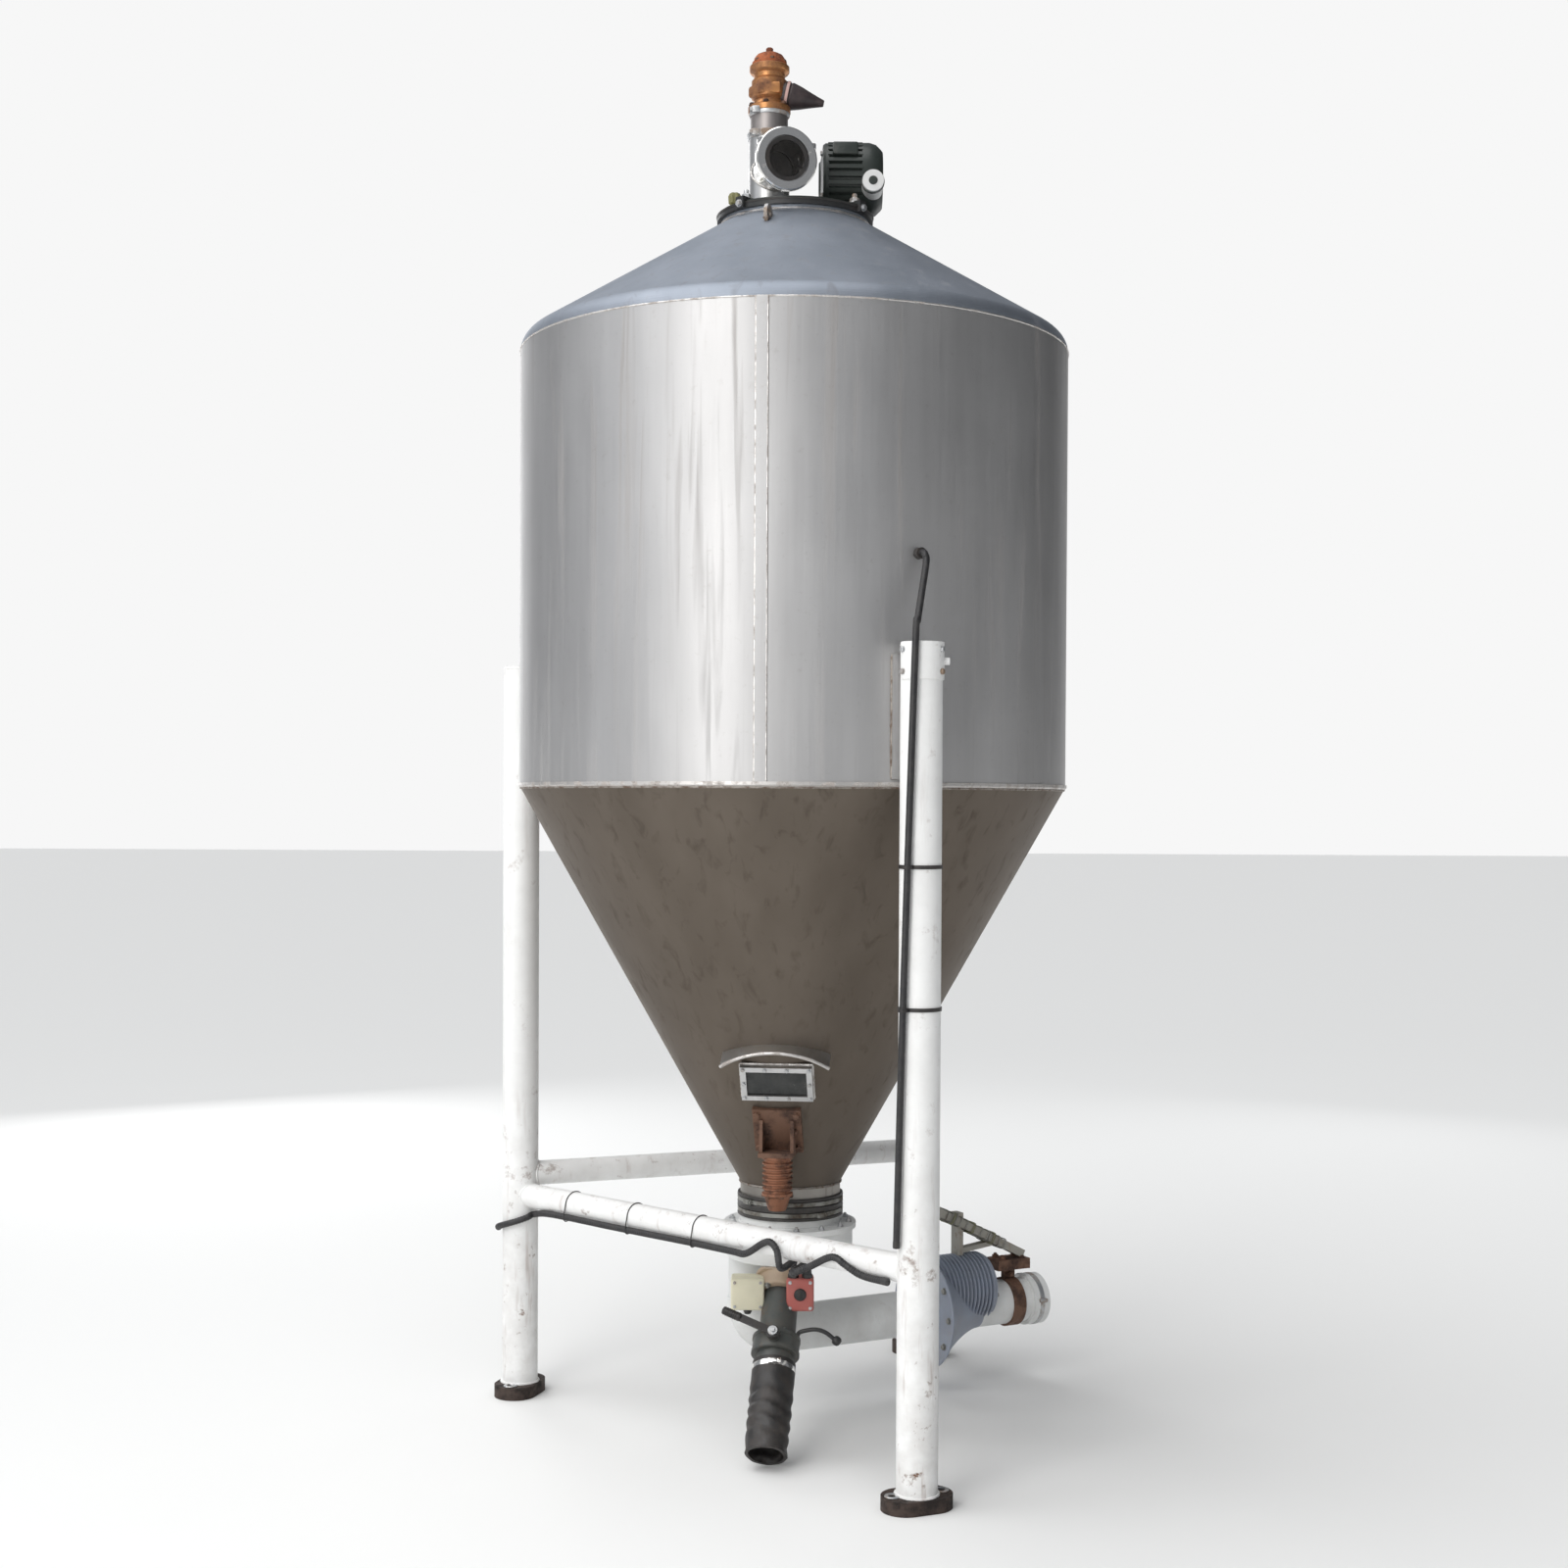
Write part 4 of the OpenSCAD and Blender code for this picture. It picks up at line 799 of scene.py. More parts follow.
HORN_DIP = 12
horn_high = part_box("relief_horn")[1]
horn_z = horn_high.z - 0.032 * math.cos(math.radians(HORN_DIP))
horn_frame = move(stack.x, stack.y, horn_z - 0.0085) @ spin(90 + HORN_DIP, "Y")
bm = bmesh.new()
turn(bm, [(0, 0.030), (0.030, 0.030), (0.032, 0.034), (0.032, 0.046), (0.0295, 0.049), (0.0315, 0.053),
          (0.0300, 0.060), (0.0255, 0.076), (0.0185, 0.096), (0.0120, 0.116), (0.0085, 0.128), (0.0070, 0.131),
          (0, 0.131)], horn_frame, 48)
piece("rubber_horn", bm, horn_rubber, ["relief_horn"])
bm = bmesh.new()
hoop(bm, horn_frame, 0.0425, 0.004, 0.031, 0.0335, 48)
piece("horn_clip", bm, pink_primer)

# %% [markdown]
# The motor beside the tee is a small totally enclosed one: a casing with cooling fins along its length, a bolted
# shield at one end and a fan cowl with a slotted grille at the other. Fins are again a radius that changes on the
# way round, this time in steps.

# %% Lid motor
motor_low, motor_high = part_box("head_motor")
motor_r = (motor_high.z - lid_top - 0.004) / 2
foot_y = (motor_low.y + motor_high.y) / 2
motor_frame = move(motor_low.x, foot_y, motor_high.z - motor_r) @ spin(90, "Y")
motor_length = motor_high.x - motor_low.x


def finned(angle, height, count=30, depth=0.10):
    """A casing's radius as a share of its outer one: full on the fins, less in the gaps between them."""
    return 1 - depth * (math.cos(count * angle) < -0.1)


bm = bmesh.new()
turn(bm, [(0, 0), (motor_r * 0.45, 0), (motor_r * 0.5, 0.004), (motor_r * 0.92, 0.010), (motor_r * 0.97, 0.016),
          (motor_r * 0.97, 0.024), (0, 0.024)], motor_frame, 96)
turn(bm, [(0, 0.022), (motor_r, 0.022), (motor_r, 0.104), (0, 0.104)], motor_frame, 240, swell=finned)
cowl = [(0, 0.102), (motor_r * 0.985, 0.102), (motor_r * 0.985, 0.120), (motor_r * 0.93, 0.136),
        (motor_r * 0.80, 0.148), (motor_r * 0.74, motor_length)]
for k in range(5):
    r = motor_r * (0.66 - 0.12 * k)
    cowl += [(r + 0.003, motor_length), (r + 0.002, motor_length - 0.004), (r - 0.002, motor_length - 0.004),
             (r - 0.003, motor_length)]
turn(bm, cowl + [(0, motor_length)], motor_frame, 96)
for side in (-1, 1):
    mill(bm, (0.086, 0.012, 0.040), move(motor_low.x + 0.053, foot_y + side * 0.036, lid_top + 0.020), 0.002)
    mill(bm, (0.092, 0.026, 0.008), move(motor_low.x + 0.053, foot_y + side * 0.042, lid_top + 0.004), 0.002)
mill(bm, (0.060, 0.040, 0.030), move(motor_low.x + 0.062, motor_low.y + 0.018, motor_high.z - 0.036), 0.004)
piece("finned_motor", bm, dark_casting, ["head_motor"], crisp=30)

bm = bmesh.new()
bolts_round(bm, motor_frame @ move(0, 0, 0.009) @ spin(180, "X"), motor_r * 0.80, 4, 0.007, 45)
for x in (0.020, 0.086):
    for side in (-1, 1):
        bolt(bm, Vector((motor_low.x + x, foot_y + side * 0.045, lid_top + 0.008)), Vector((0, 0, 1)), 0.008, 0.004)
cap_low, cap_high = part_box("motor_cap")
piece("motor_bolts", bm, zinc)

bm = bmesh.new()
cap_frame = move((cap_low.x + cap_high.x) / 2, cap_low.y, (cap_low.z + cap_high.z) / 2) @ spin(90, "X")
cap_r = (cap_high.z - cap_low.z) / 2
hoop(bm, cap_frame, -0.0145, 0.0055, cap_r - 0.001, cap_r + 0.002, 48)
turn(bm, [(0, 0.0), (cap_r * 0.42, 0.0), (cap_r * 0.36, 0.003), (0, 0.0035)], cap_frame, 32)
piece("cap_ring", bm, dark_casting)

# %% [markdown]
# ## Legs and braces
# Each leg is a plain 89 mm tube. What the eye reads as sturdiness are the welds round the braces and saddles, the
# closing cap on top, and the bright washers on the dark feet.

# %% Leg welds, caps and washers
LEG_AZIMUTHS = (22.4, -106.9, 150)
leg_r = (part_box("leg_left")[1].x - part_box("leg_left")[0].x) / 2
legs = [Vector((centre(n).x, centre(n).y, 0)) for n in ("leg_front", "leg_left", "leg_back")]
leg_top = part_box("leg_front")[1].z
BRACE_R, LEG_GAP, FOOT_TOP, ANCHOR_AT = 0.03015, 0.012, 0.030, 0.05645
bm = bmesh.new()
for first, second, node_name in ((1, 0, "brace_front"), (1, 2, "brace_back"), (0, 2, "brace_side")):
    z = centre(node_name).z
    run = (legs[second] - legs[first]).normalized()
    across = Vector((0, 0, 1)).cross(run)
    for leg, way in ((legs[first], run), (legs[second], -run)):
        points = []
        for k in range(40):
            a = 2 * math.pi * k / 40
            side = BRACE_R * math.cos(a)
            out = math.sqrt(leg_r ** 2 - side ** 2)
            points.append(leg + way * (out + 0.001) + across * side + Vector((0, 0, z + BRACE_R * math.sin(a))))
        bead(bm, points, 0.0032, True)
for leg in legs:
    ring_bead(bm, move(leg.x, leg.y, leg_top - 0.006), leg_r - 0.0002, 0.0016)
    ring_bead(bm, move(leg.x, leg.y, FOOT_TOP + 0.0015), leg_r + 0.001, 0.0036)
piece("leg_welds", bm, leg_paint)

saddle_low, saddle_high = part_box("leg_saddles")
bm = bmesh.new()
PAD_HALF = math.degrees(0.042 / shell_r)
for azimuth in LEG_AZIMUTHS:
    low, high = saddle_low.z + 0.002, saddle_high.z - 0.002
    corners = [(-PAD_HALF, low), (PAD_HALF, low), (PAD_HALF, high), (-PAD_HALF, high)]
    bead(bm, [around(azimuth + a, shell_r + 0.001, z) for a, z in corners], 0.003, True)
    for side in (-1, 1):
        ends = [at_azimuth(azimuth, shell_r, z) @ Vector((side * 0.0205, -0.0075, 0)) for z in (low, high)]
        bead(bm, ends, 0.003)
piece("saddle_welds", bm, weld_dull)

bm = bmesh.new()
for azimuth in LEG_AZIMUTHS:
    for side in (-1, 1):
        hole = at_azimuth(azimuth, shell_r + LEG_GAP + leg_r, FOOT_TOP + 0.0005) @ move(side * ANCHOR_AT, 0, 0)
        turn(bm, [(0.0095, 0), (0.0170, 0), (0.0175, 0.0012), (0.0165, 0.0028), (0.0098, 0.0028)], hole, 40, True)
piece("foot_washers", bm, zinc)

sleeve = centre("leg_front")
sleeve_low, sleeve_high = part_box("front_leg_sleeve")
bm = bmesh.new()
for z in (sleeve_low.z + 0.016, sleeve_high.z - 0.016):
    for a in (-150, -30):
        out = Vector((math.cos(math.radians(a)), math.sin(math.radians(a)), 0))
        bolt(bm, Vector((sleeve.x, sleeve.y, z)) + out * (leg_r + 0.002), out, 0.007)
piece("sleeve_bolts", bm, zinc)

# %% [markdown]
# ## The hopper's window and vibrator
# A pane in a bolted frame lets people see the powder, and a curved drip hood keeps rain off it. Below it a rusty
# vibrator shakes the powder loose; it is a turned body with cooling rings between two covers, the lower one bolted.

# %% Window bolts and hood edge
WINDOW_AZIMUTH, WINDOW_Z, WINDOW_HALF, WINDOW_RISE = -6.5, 0.848, 0.0755, 0.0395
window = on_hopper(WINDOW_AZIMUTH, WINDOW_Z)
face = -0.014
out = window.to_3x3() @ Vector((0, -1, 0))
bm = bmesh.new()
for x in (-WINDOW_HALF, -WINDOW_HALF / 3, WINDOW_HALF / 3, WINDOW_HALF):
    for z in (-WINDOW_RISE, WINDOW_RISE):
        bolt(bm, window @ Vector((x, face, z)), out, 0.005)
for x in (-WINDOW_HALF, WINDOW_HALF):
    bolt(bm, window @ Vector((x, face, 0)), out, 0.005)
piece("window_bolts", bm, zinc)

bm = bmesh.new()
inner = [window @ Vector((x * 0.069, face + 0.0022, z * 0.033)) for x, z in ((-1, -1), (1, -1), (1, 1), (-1, 1))]
bend(bm, inner, 0.0024, 8, True)
piece("window_seal", bm, rubber)

bm = bmesh.new()
outer = [window @ Vector((x * 0.083, 0.0005, z * 0.047)) for x, z in ((-1, -1), (1, -1), (1, 1), (-1, 1))]
bead(bm, outer, 0.003, True)
HOOD_HALF, HOOD_RISE, HOOD_OUT = 0.124, 0.040, 0.030
hood_r = (HOOD_HALF ** 2 + HOOD_RISE ** 2) / (2 * HOOD_RISE)
hood_turn = math.asin(HOOD_HALF / hood_r)
hood = on_hopper(WINDOW_AZIMUTH, WINDOW_Z + 0.054) @ move(0, 0, HOOD_RISE - hood_r)
arc = [hood @ Vector((hood_r * math.sin(a), -HOOD_OUT + 0.0008, hood_r * math.cos(a)))
       for a in [hood_turn * (k / 20 - 1) for k in range(41)]]
bend(bm, [p - (hood.to_3x3() @ Vector((0, 0, 1))) * 0.003 for p in arc], 0.0042, 8)
piece("hood_edge", bm, weld_bright)

# %% Vibrator
vib_low, vib_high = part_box("vibrator")
vib = move((vib_low.x + vib_high.x) / 2, (vib_low.y + vib_high.y) / 2, vib_low.z)
vib_r, vib_h = (vib_high.x - vib_low.x) / 2, vib_high.z - vib_low.z
CAP_H = 0.034
bm = bmesh.new()
body = [(0, 0), (0.019, 0), (0.021, 0.002), (0.029, CAP_H - 0.006), (0.030, CAP_H - 0.002), (vib_r - 0.002, CAP_H),
        (vib_r, CAP_H + 0.002), (vib_r, CAP_H + 0.007), (vib_r - 0.005, CAP_H + 0.009)]
for k in range(6):
    z = CAP_H + 0.014 + 0.0115 * k
    body += [(vib_r - 0.006, z), (vib_r - 0.001, z + 0.002), (vib_r - 0.001, z + 0.005), (vib_r - 0.006, z + 0.007)]
body += [(vib_r - 0.005, vib_h - 0.008), (vib_r, vib_h - 0.006), (vib_r, vib_h - 0.001), (vib_r - 0.002, vib_h),
         (0, vib_h)]
turn(bm, body, vib, 64)
piece("vibrator_body", bm, rusty_copper, ["vibrator"])
bm = bmesh.new()
bolts_round(bm, vib @ spin(180, "X") @ move(0, 0, -CAP_H - 0.0005), 0.0325, 6, 0.005, 10)
VIBRATOR_AZIMUTH, PLATE_Z = -8, 0.728
plate = on_hopper(VIBRATOR_AZIMUTH, PLATE_Z)
for x in (-0.046, 0.046):
    for z in (-0.046, 0.046):
        bolt(bm, plate @ Vector((x, -0.008, z)), plate.to_3x3() @ Vector((0, -1, 0)), 0.009)
shelf_reach = math.hypot(vib.translation.x - tank_x, vib.translation.y - tank_y)
shelf = at_azimuth(VIBRATOR_AZIMUTH, shelf_reach, vib_high.z + 0.085)
for x in (-0.032, 0.032):
    for y in (-0.006, 0.022):
        bolt(bm, shelf @ Vector((x * 1.26, y, -0.030)), shelf.to_3x3() @ Vector((x, 0, 0)), 0.007)
piece("vibrator_bolts", bm, rusty_brown)

# %% [markdown]
# ## Outlet
# A rubber sleeve joins the neck to the outlet box, so that the shaking stays in the hopper. Two worm clips hold it.
# The box's lid is bolted on all round.

# %% Sleeve, clips and box bolts
band_low, band_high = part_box("outlet_band")
band_r, band_z, band_h = (band_high.x - band_low.x) / 2, band_low.z, band_high.z - band_low.z
bm = bmesh.new()
turn(bm, [(band_r - 0.007, band_z), (band_r - 0.001, band_z), (band_r, band_z + 0.002),
          (band_r - 0.0005, band_z + 0.006), (band_r - 0.0025, band_z + 0.008),
          (band_r - 0.0025, band_z + 0.018), (band_r, band_z + 0.021),
          (band_r - 0.0005, band_z + band_h / 2), (band_r, band_z + band_h - 0.021),
          (band_r - 0.0025, band_z + band_h - 0.018), (band_r - 0.0025, band_z + band_h - 0.008),
          (band_r, band_z + band_h - 0.006), (band_r - 0.001, band_z + band_h), (band_r - 0.007, band_z + band_h)],
     on_axis(0), 120, True)
piece("outlet_sleeve", bm, band_rubber, ["outlet_band"])

bm = bmesh.new()
for z, azimuth in ((band_z + 0.013, 34), (band_z + band_h - 0.013, -52)):
    turn(bm, [(band_r - 0.0020, z - 0.0045), (band_r - 0.0006, z - 0.0045), (band_r - 0.0002, z),
              (band_r - 0.0006, z + 0.0045), (band_r - 0.0020, z + 0.0045)], on_axis(0), 120, True)
    lug = at_azimuth(azimuth, band_r + 0.003, z)
    mill(bm, (0.022, 0.009, 0.011), lug, 0.002)
    bolt(bm, lug @ Vector((0.011, 0, 0)), lug.to_3x3() @ Vector((1, 0, 0)), 0.006)
piece("sleeve_clips", bm, steel_wire)

box_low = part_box("outlet_box")[0]
BOX_R, BOX_LID = 0.150, 0.478
bm = bmesh.new()
for k in range(14):
    bolt(bm, around(k * 360 / 14 + 6, BOX_R - 0.009, BOX_LID), Vector((0, 0, 1)), 0.007, 0.004)
piece("box_bolts", bm, zinc)
bm = bmesh.new()
ring_bead(bm, on_axis(BOX_LID - 0.0125), BOX_R + 0.0012, 0.0028)
ring_bead(bm, on_axis(BOX_LID + 0.0005), outlet_r + 0.0015, 0.0030)
ring_bead(bm, on_axis(box_low.z + 0.0015), BOX_R - 0.0012, 0.0026)
piece("box_welds", bm, line_paint)

# %% [markdown]
# ## Conveying line and blower
# The white line comes down from the box, bends level and runs out past the back leg. The blower sits on it: a
# trumpet-shaped mouth and a casing with narrow fins, hung from a sloping bracket. Along the line a frame is used
# whose X points down the pipe, so a turned part only needs its place on that line.

# %% The line's own frame
LINE_AZIMUTH, LINE_Z, LINE_R, LINE_LENGTH = 117.5, 0.204, 0.056, 0.824
riser = around(-93, BOX_R - LINE_R - 0.002, LINE_Z)
line = Matrix.Translation(riser) @ spin(LINE_AZIMUTH - 90, "Z")


def on_line(at, rise=0.0, aside=0.0):
    """A frame on the line whose Z points down the pipe."""
    return line @ move(at, aside, rise) @ spin(90, "Y")


bm = bmesh.new()
for at in (0.061, 0.087, LINE_LENGTH - 0.046):
    ring_bead(bm, on_line(at), LINE_R + 0.0012, 0.0024)
for rise in (0.061, 0.087):
    ring_bead(bm, move(riser.x, riser.y, riser.z + rise), LINE_R + 0.0012, 0.0024)
ring_bead(bm, move(riser.x, riser.y, box_low.z - 0.0015), LINE_R + 0.001, 0.003)
piece("line_welds", bm, line_paint)
bm = bmesh.new()
turn(bm, [(LINE_R - 0.004, -0.006), (LINE_R + 0.004, -0.006), (LINE_R + 0.004, 0.0004), (LINE_R - 0.004, -0.0006)],
     on_line(LINE_LENGTH), 96, True)
piece("line_seal", bm, rubber)
bm = bmesh.new()
for at in circle(on_line(LINE_LENGTH - 0.023), LINE_R + 0.009, 3, 0.4):
    mill(bm, (0.022, 0.018, 0.010), Matrix.Translation(at) @ line.to_3x3().to_4x4(), 0.003)
hoop(bm, on_line(0), LINE_LENGTH - 0.023, 0.007, LINE_R + 0.0085, LINE_R + 0.0100)
piece("line_lugs", bm, zinc)

# %% Blower
BELL_FROM, BELL_LENGTH, BELL_R = 0.482, 0.145, 0.142
CASE_FROM, CASE_LENGTH, CASE_R, CASE_RISE = 0.506, 0.150, 0.086, 0.050
bm = bmesh.new()
bell_foot = LINE_R + 0.001
mouth = [(bell_foot + (BELL_R - bell_foot) * (1 - s / 24) ** 1.5, s / 24 * BELL_LENGTH) for s in range(2, 25)]
turn(bm, [(LINE_R + 0.0005, 0.004), (BELL_R - 0.012, 0.004), (BELL_R - 0.010, 0), (BELL_R - 0.002, 0), (BELL_R, 0.002),
          (BELL_R - 0.001, 0.006)] + mouth + [(LINE_R + 0.0005, BELL_LENGTH + 0.003)], on_line(BELL_FROM), 96, True)
case = on_line(CASE_FROM, CASE_RISE)
fins = [(LINE_R * 0.6, 0), (CASE_R - 0.010, 0), (CASE_R - 0.006, 0.002), (CASE_R - 0.006, 0.008)]
FIN_COUNT, FIN_PITCH = 12, 0.0112
for k in range(FIN_COUNT):
    at = 0.010 + k * FIN_PITCH
    fins += [(CASE_R - 0.009, at), (CASE_R - 0.0005, at + 0.001), (CASE_R, at + 0.0025), (CASE_R - 0.0005, at + 0.004),
             (CASE_R - 0.009, at + 0.005)]
fins += [(CASE_R - 0.006, CASE_LENGTH - 0.007), (CASE_R - 0.006, CASE_LENGTH - 0.002), (CASE_R - 0.010, CASE_LENGTH),
         (LINE_R * 0.6, CASE_LENGTH)]
turn(bm, fins, case, 120, True)
piece("blower_casing", bm, blower_paint, ["blower"], crisp=30)

bm = bmesh.new()
bolts_round(bm, on_line(BELL_FROM) @ spin(180, "X") @ move(0, 0, -0.0045), 0.118, 10, 0.008, 18)
bolts_round(bm, case @ move(0, 0, CASE_LENGTH - 0.0005), CASE_R - 0.016, 4, 0.007, 100)
piece("blower_bolts", bm, steel_wire)

# %% [markdown]
# The bracket is lashed with wire and tape, as repairs on a plant often are. Each wrap is one closed loop round the
# bracket's bar, a little loose and never quite square to it.

# %% Lashing on the bracket
SIDE_BRACE_Z, BLOCK_Z = 0.450, 0.316
bar_start = line @ Vector((0.428, 0, SIDE_BRACE_Z - LINE_Z + BRACE_R + 0.020))
bar_end = line @ Vector((0.770, 0, BLOCK_Z - LINE_Z + 0.010))
bar_run = bar_end - bar_start
bar_across = (line.to_3x3() @ Vector((0, 1, 0)))
bar_up = bar_across.cross(bar_run).normalized() * -1
draw = random.Random(7)
wire, tape = bmesh.new(), bmesh.new()
for k in range(16):
    share = 0.30 + k * 0.034 + draw.uniform(-0.006, 0.006)
    middle = bar_start + bar_run * share
    skew = draw.uniform(-0.010, 0.010)
    corners = [(-1, -1), (0, -1.12), (1, -1), (1.04, 0), (1, 1), (0, 1.1), (-1, 1), (-1.04, 0)]
    half_w, half_h = 0.0235, 0.0115
    loop = [middle + bar_across * (x * half_w) + bar_up * (y * half_h) + bar_run.normalized() * (skew * x)
            for x, y in corners]
    bend(tape if k % 5 == 2 else wire, rounded(loop, 5, True), 0.0032 if k % 5 == 2 else 0.0016, 8, True)
piece("bracket_wire", wire, steel_wire)
piece("bracket_tape", tape, olive_tape)

bm = bmesh.new()
for at in (0.708, 0.764):
    for side in (-0.017, 0.017):
        bolt(bm, line @ Vector((at, side, BLOCK_Z - LINE_Z)), Vector((0, 0, 1)), 0.009, 0.004)
for side in (-1, 1):
    bolt(bm, line @ Vector((0.736, side * 0.0065, 0.070)), line.to_3x3() @ Vector((0, side, 0)), 0.009, 0.004)
piece("hanger_bolts", bm, rusty_brown)

# %% [markdown]
# ## Bagging spout
# A steel pipe slopes forward out of the box to a rubber sock. On it sit the valve with its red drive and cream
# control box, and a gate with a hand lever, which is the one thing here that moves.

# %% The spout's own frame
spout_start = around(0, 0, 0.396) + Vector((-0.014, -0.096, 0))
spout_end = around(0, 0, 0.034) + Vector((-0.052, -0.412, 0))
spout = along(spout_start, spout_end)
spout_length = (spout_end - spout_start).length
SPOUT_R = 0.042
down = spout.to_3x3() @ Vector((0, 0, 1))
VALVE_AT, VALVE_LENGTH = 0.034, 0.052
valve_r = SPOUT_R + 0.020
valve_cut = box_low.z - 0.0005


def below(bm, z):
    """Cuts off everything above a height and closes the cut."""
    found = bmesh.ops.bisect_plane(bm, geom=bm.verts[:] + bm.edges[:] + bm.faces[:], plane_co=(0, 0, z),
                                   plane_no=(0, 0, 1), clear_outer=True)
    edges = [g for g in found["geom_cut"] if isinstance(g, bmesh.types.BMEdge)]
    bmesh.ops.triangle_fill(bm, edges=edges, use_beauty=True)


bm = bmesh.new()
turn(bm, [(SPOUT_R + 0.0004, 0), (valve_r - 0.003, 0), (valve_r, 0.003), (valve_r, 0.012), (valve_r - 0.006, 0.015),
          (valve_r - 0.006, 0.037), (valve_r, 0.040), (valve_r, VALVE_LENGTH - 0.003), (valve_r - 0.003, VALVE_LENGTH),
          (SPOUT_R + 0.0004, VALVE_LENGTH)], spout @ move(0, 0, VALVE_AT), 80, True,
     swell=lambda a, h: 1 + 0.02 * (math.cos(4 * a) > 0.75))
below(bm, valve_cut)
piece("valve_casting", bm, tan_casting, ["spout_valve"])

bm = bmesh.new()
for at in circle(spout @ move(0, 0, VALVE_AT + VALVE_LENGTH), valve_r - 0.007, 6, 0.5):
    bolt(bm, at, down, 0.007, 0.003)
piece("valve_bolts", bm, steel_wire)


# %% Control box and drive
def housing(name, node_name, finish, lid_share, bevel):
    """A box with eased edges, a lid that stands proud behind a narrow joint, and four screws."""
    low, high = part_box(node_name)
    size, middle = high - low, (low + high) / 2
    depth = size.y * lid_share
    bm = bmesh.new()
    joint = depth + 0.0012
    mill(bm, (size.x, size.y - joint, size.z), move(middle.x, middle.y + joint / 2, middle.z), bevel, 3)
    mill(bm, (size.x - 0.004, 0.004, size.z - 0.004), move(middle.x, low.y + depth, middle.z))
    mill(bm, (size.x, depth, size.z), move(middle.x, low.y + depth / 2, middle.z), bevel, 3)
    made = piece(name, bm, finish, [node_name])
    bm = bmesh.new()
    for x in (-1, 1):
        for z in (-1, 1):
            at = middle + Vector((x * (size.x / 2 - 0.009), -size.y / 2, z * (size.z / 2 - 0.009)))
            bolt(bm, at + Vector((0, 0.0008, 0)), Vector((0, -1, 0)), 0.0042)
    piece(name + "_screws", bm, zinc)
    return low, high


cream_low, cream_high = housing("cream_control_box", "control_box", cream_paint, 0.34, 0.005)
red_low, red_high = housing("red_drive", "valve_drive", red_paint, 0.42, 0.007)


def hose_end(x):
    """Where a hose enters the drive's top, x aside of its middle."""
    return Vector(((red_low.x + red_high.x) / 2 + x, (red_low.y + red_high.y) / 2 - 0.014, red_high.z))


bm = bmesh.new()
dial = move(red_low.x + 0.032, red_low.y, red_low.z + 0.040)
turn(bm, [(0, -0.001), (0.014, -0.001), (0.0145, 0.002), (0.012, 0.005), (0.006, 0.006), (0, 0.006)],
     dial @ spin(90, "X"), 40)
mill(bm, (0.004, 0.004, 0.022), dial @ move(0, -0.0065, 0), 0.0012)
for x in (-0.016, 0.016):
    turn(bm, [(0.0086, -0.001), (0.0125, -0.001), (0.0125, 0.008), (0.0105, 0.010), (0.0105, 0.016), (0.0092, 0.018),
              (0.0086, 0.018)], Matrix.Translation(hose_end(x)), 6, True)
gland = move((cream_low.x + cream_high.x) / 2, (cream_low.y + cream_high.y) / 2, cream_low.z)
turn(bm, [(0, 0.001), (0.010, 0.001), (0.010, -0.008), (0.007, -0.014), (0, -0.014)], gland, 24)
piece("drive_fittings", bm, rim_black)

# %% [markdown]
# The sock is soft rubber pulled over the pipe. It is modelled as a closed sleeve whose radius follows the pipe
# under its clip, then falls into shallow folds that run round it and drift.
# Noise read at each point keeps the folds from repeating.

# %% Rubber sock
SOCK_AT, PIPE_END, SOCK_WALL = 0.262, 0.306, 0.0075
sock_r = SPOUT_R + SOCK_WALL


def sock_folds(angle, height):
    """The sock's radius as a share of its even one."""
    free = min(max((height - SOCK_AT - 0.036) / 0.05, 0), 1)
    wander = noise.noise(Vector((math.cos(angle) * 0.9, math.sin(angle) * 0.9, height * 9))) * 2.2
    fold = math.sin(height * 2 * math.pi / 0.034 + wander * 2.6)
    dent = noise.noise(Vector((math.cos(angle) * 1.3 + 5, math.sin(angle) * 1.3, height * 14)))
    return 1 + free * (-0.030 + 0.030 * fold + 0.045 * dent)


SOCK_ROWS = 70
rows = [SOCK_AT + (spout_length - 0.001 - SOCK_AT) * k / SOCK_ROWS for k in range(SOCK_ROWS + 1)]
bm = bmesh.new()
outside = [(sock_r, h) for h in rows]
inside = [(SPOUT_R + (0.0004 if h < PIPE_END else -0.0006), h) for h in reversed(rows)]
turn(bm, outside + inside, spout, 96, True, swell=lambda a, h: sock_folds(a, h) if h > SOCK_AT + 0.036 else 1)
piece("rubber_sock", bm, rubber, ["spout_sock"], crisp=60)

bm = bmesh.new()
turn(bm, [(sock_r - 0.001, SOCK_AT + 0.010), (sock_r + 0.0008, SOCK_AT + 0.010), (sock_r + 0.0014, SOCK_AT + 0.016),
          (sock_r + 0.0008, SOCK_AT + 0.022), (sock_r - 0.001, SOCK_AT + 0.022)], spout, 96, True)
worm = spout @ move(-sock_r - 0.004, 0.004, SOCK_AT + 0.016)
mill(bm, (0.008, 0.024, 0.012), worm, 0.002)
bolt(bm, worm @ Vector((0, 0.012, 0)), spout.to_3x3() @ Vector((0, 1, 0)), 0.007)
piece("sock_clip", bm, chrome)

# %% Gate and lever
GATE_AT, GATE_LENGTH, GATE_R = 0.196, 0.046, SPOUT_R + 0.012
bm = bmesh.new()
for at in (GATE_AT + 0.006, GATE_AT + GATE_LENGTH - 0.006):
    hoop(bm, spout, at, 0.005, GATE_R - 0.002, GATE_R + 0.0016, 80)
bolts_round(bm, spout @ move(0, 0, GATE_AT) @ spin(180, "X"), GATE_R - 0.006, 6, 0.006, 30)
piece("gate_rings", bm, spout_paint)

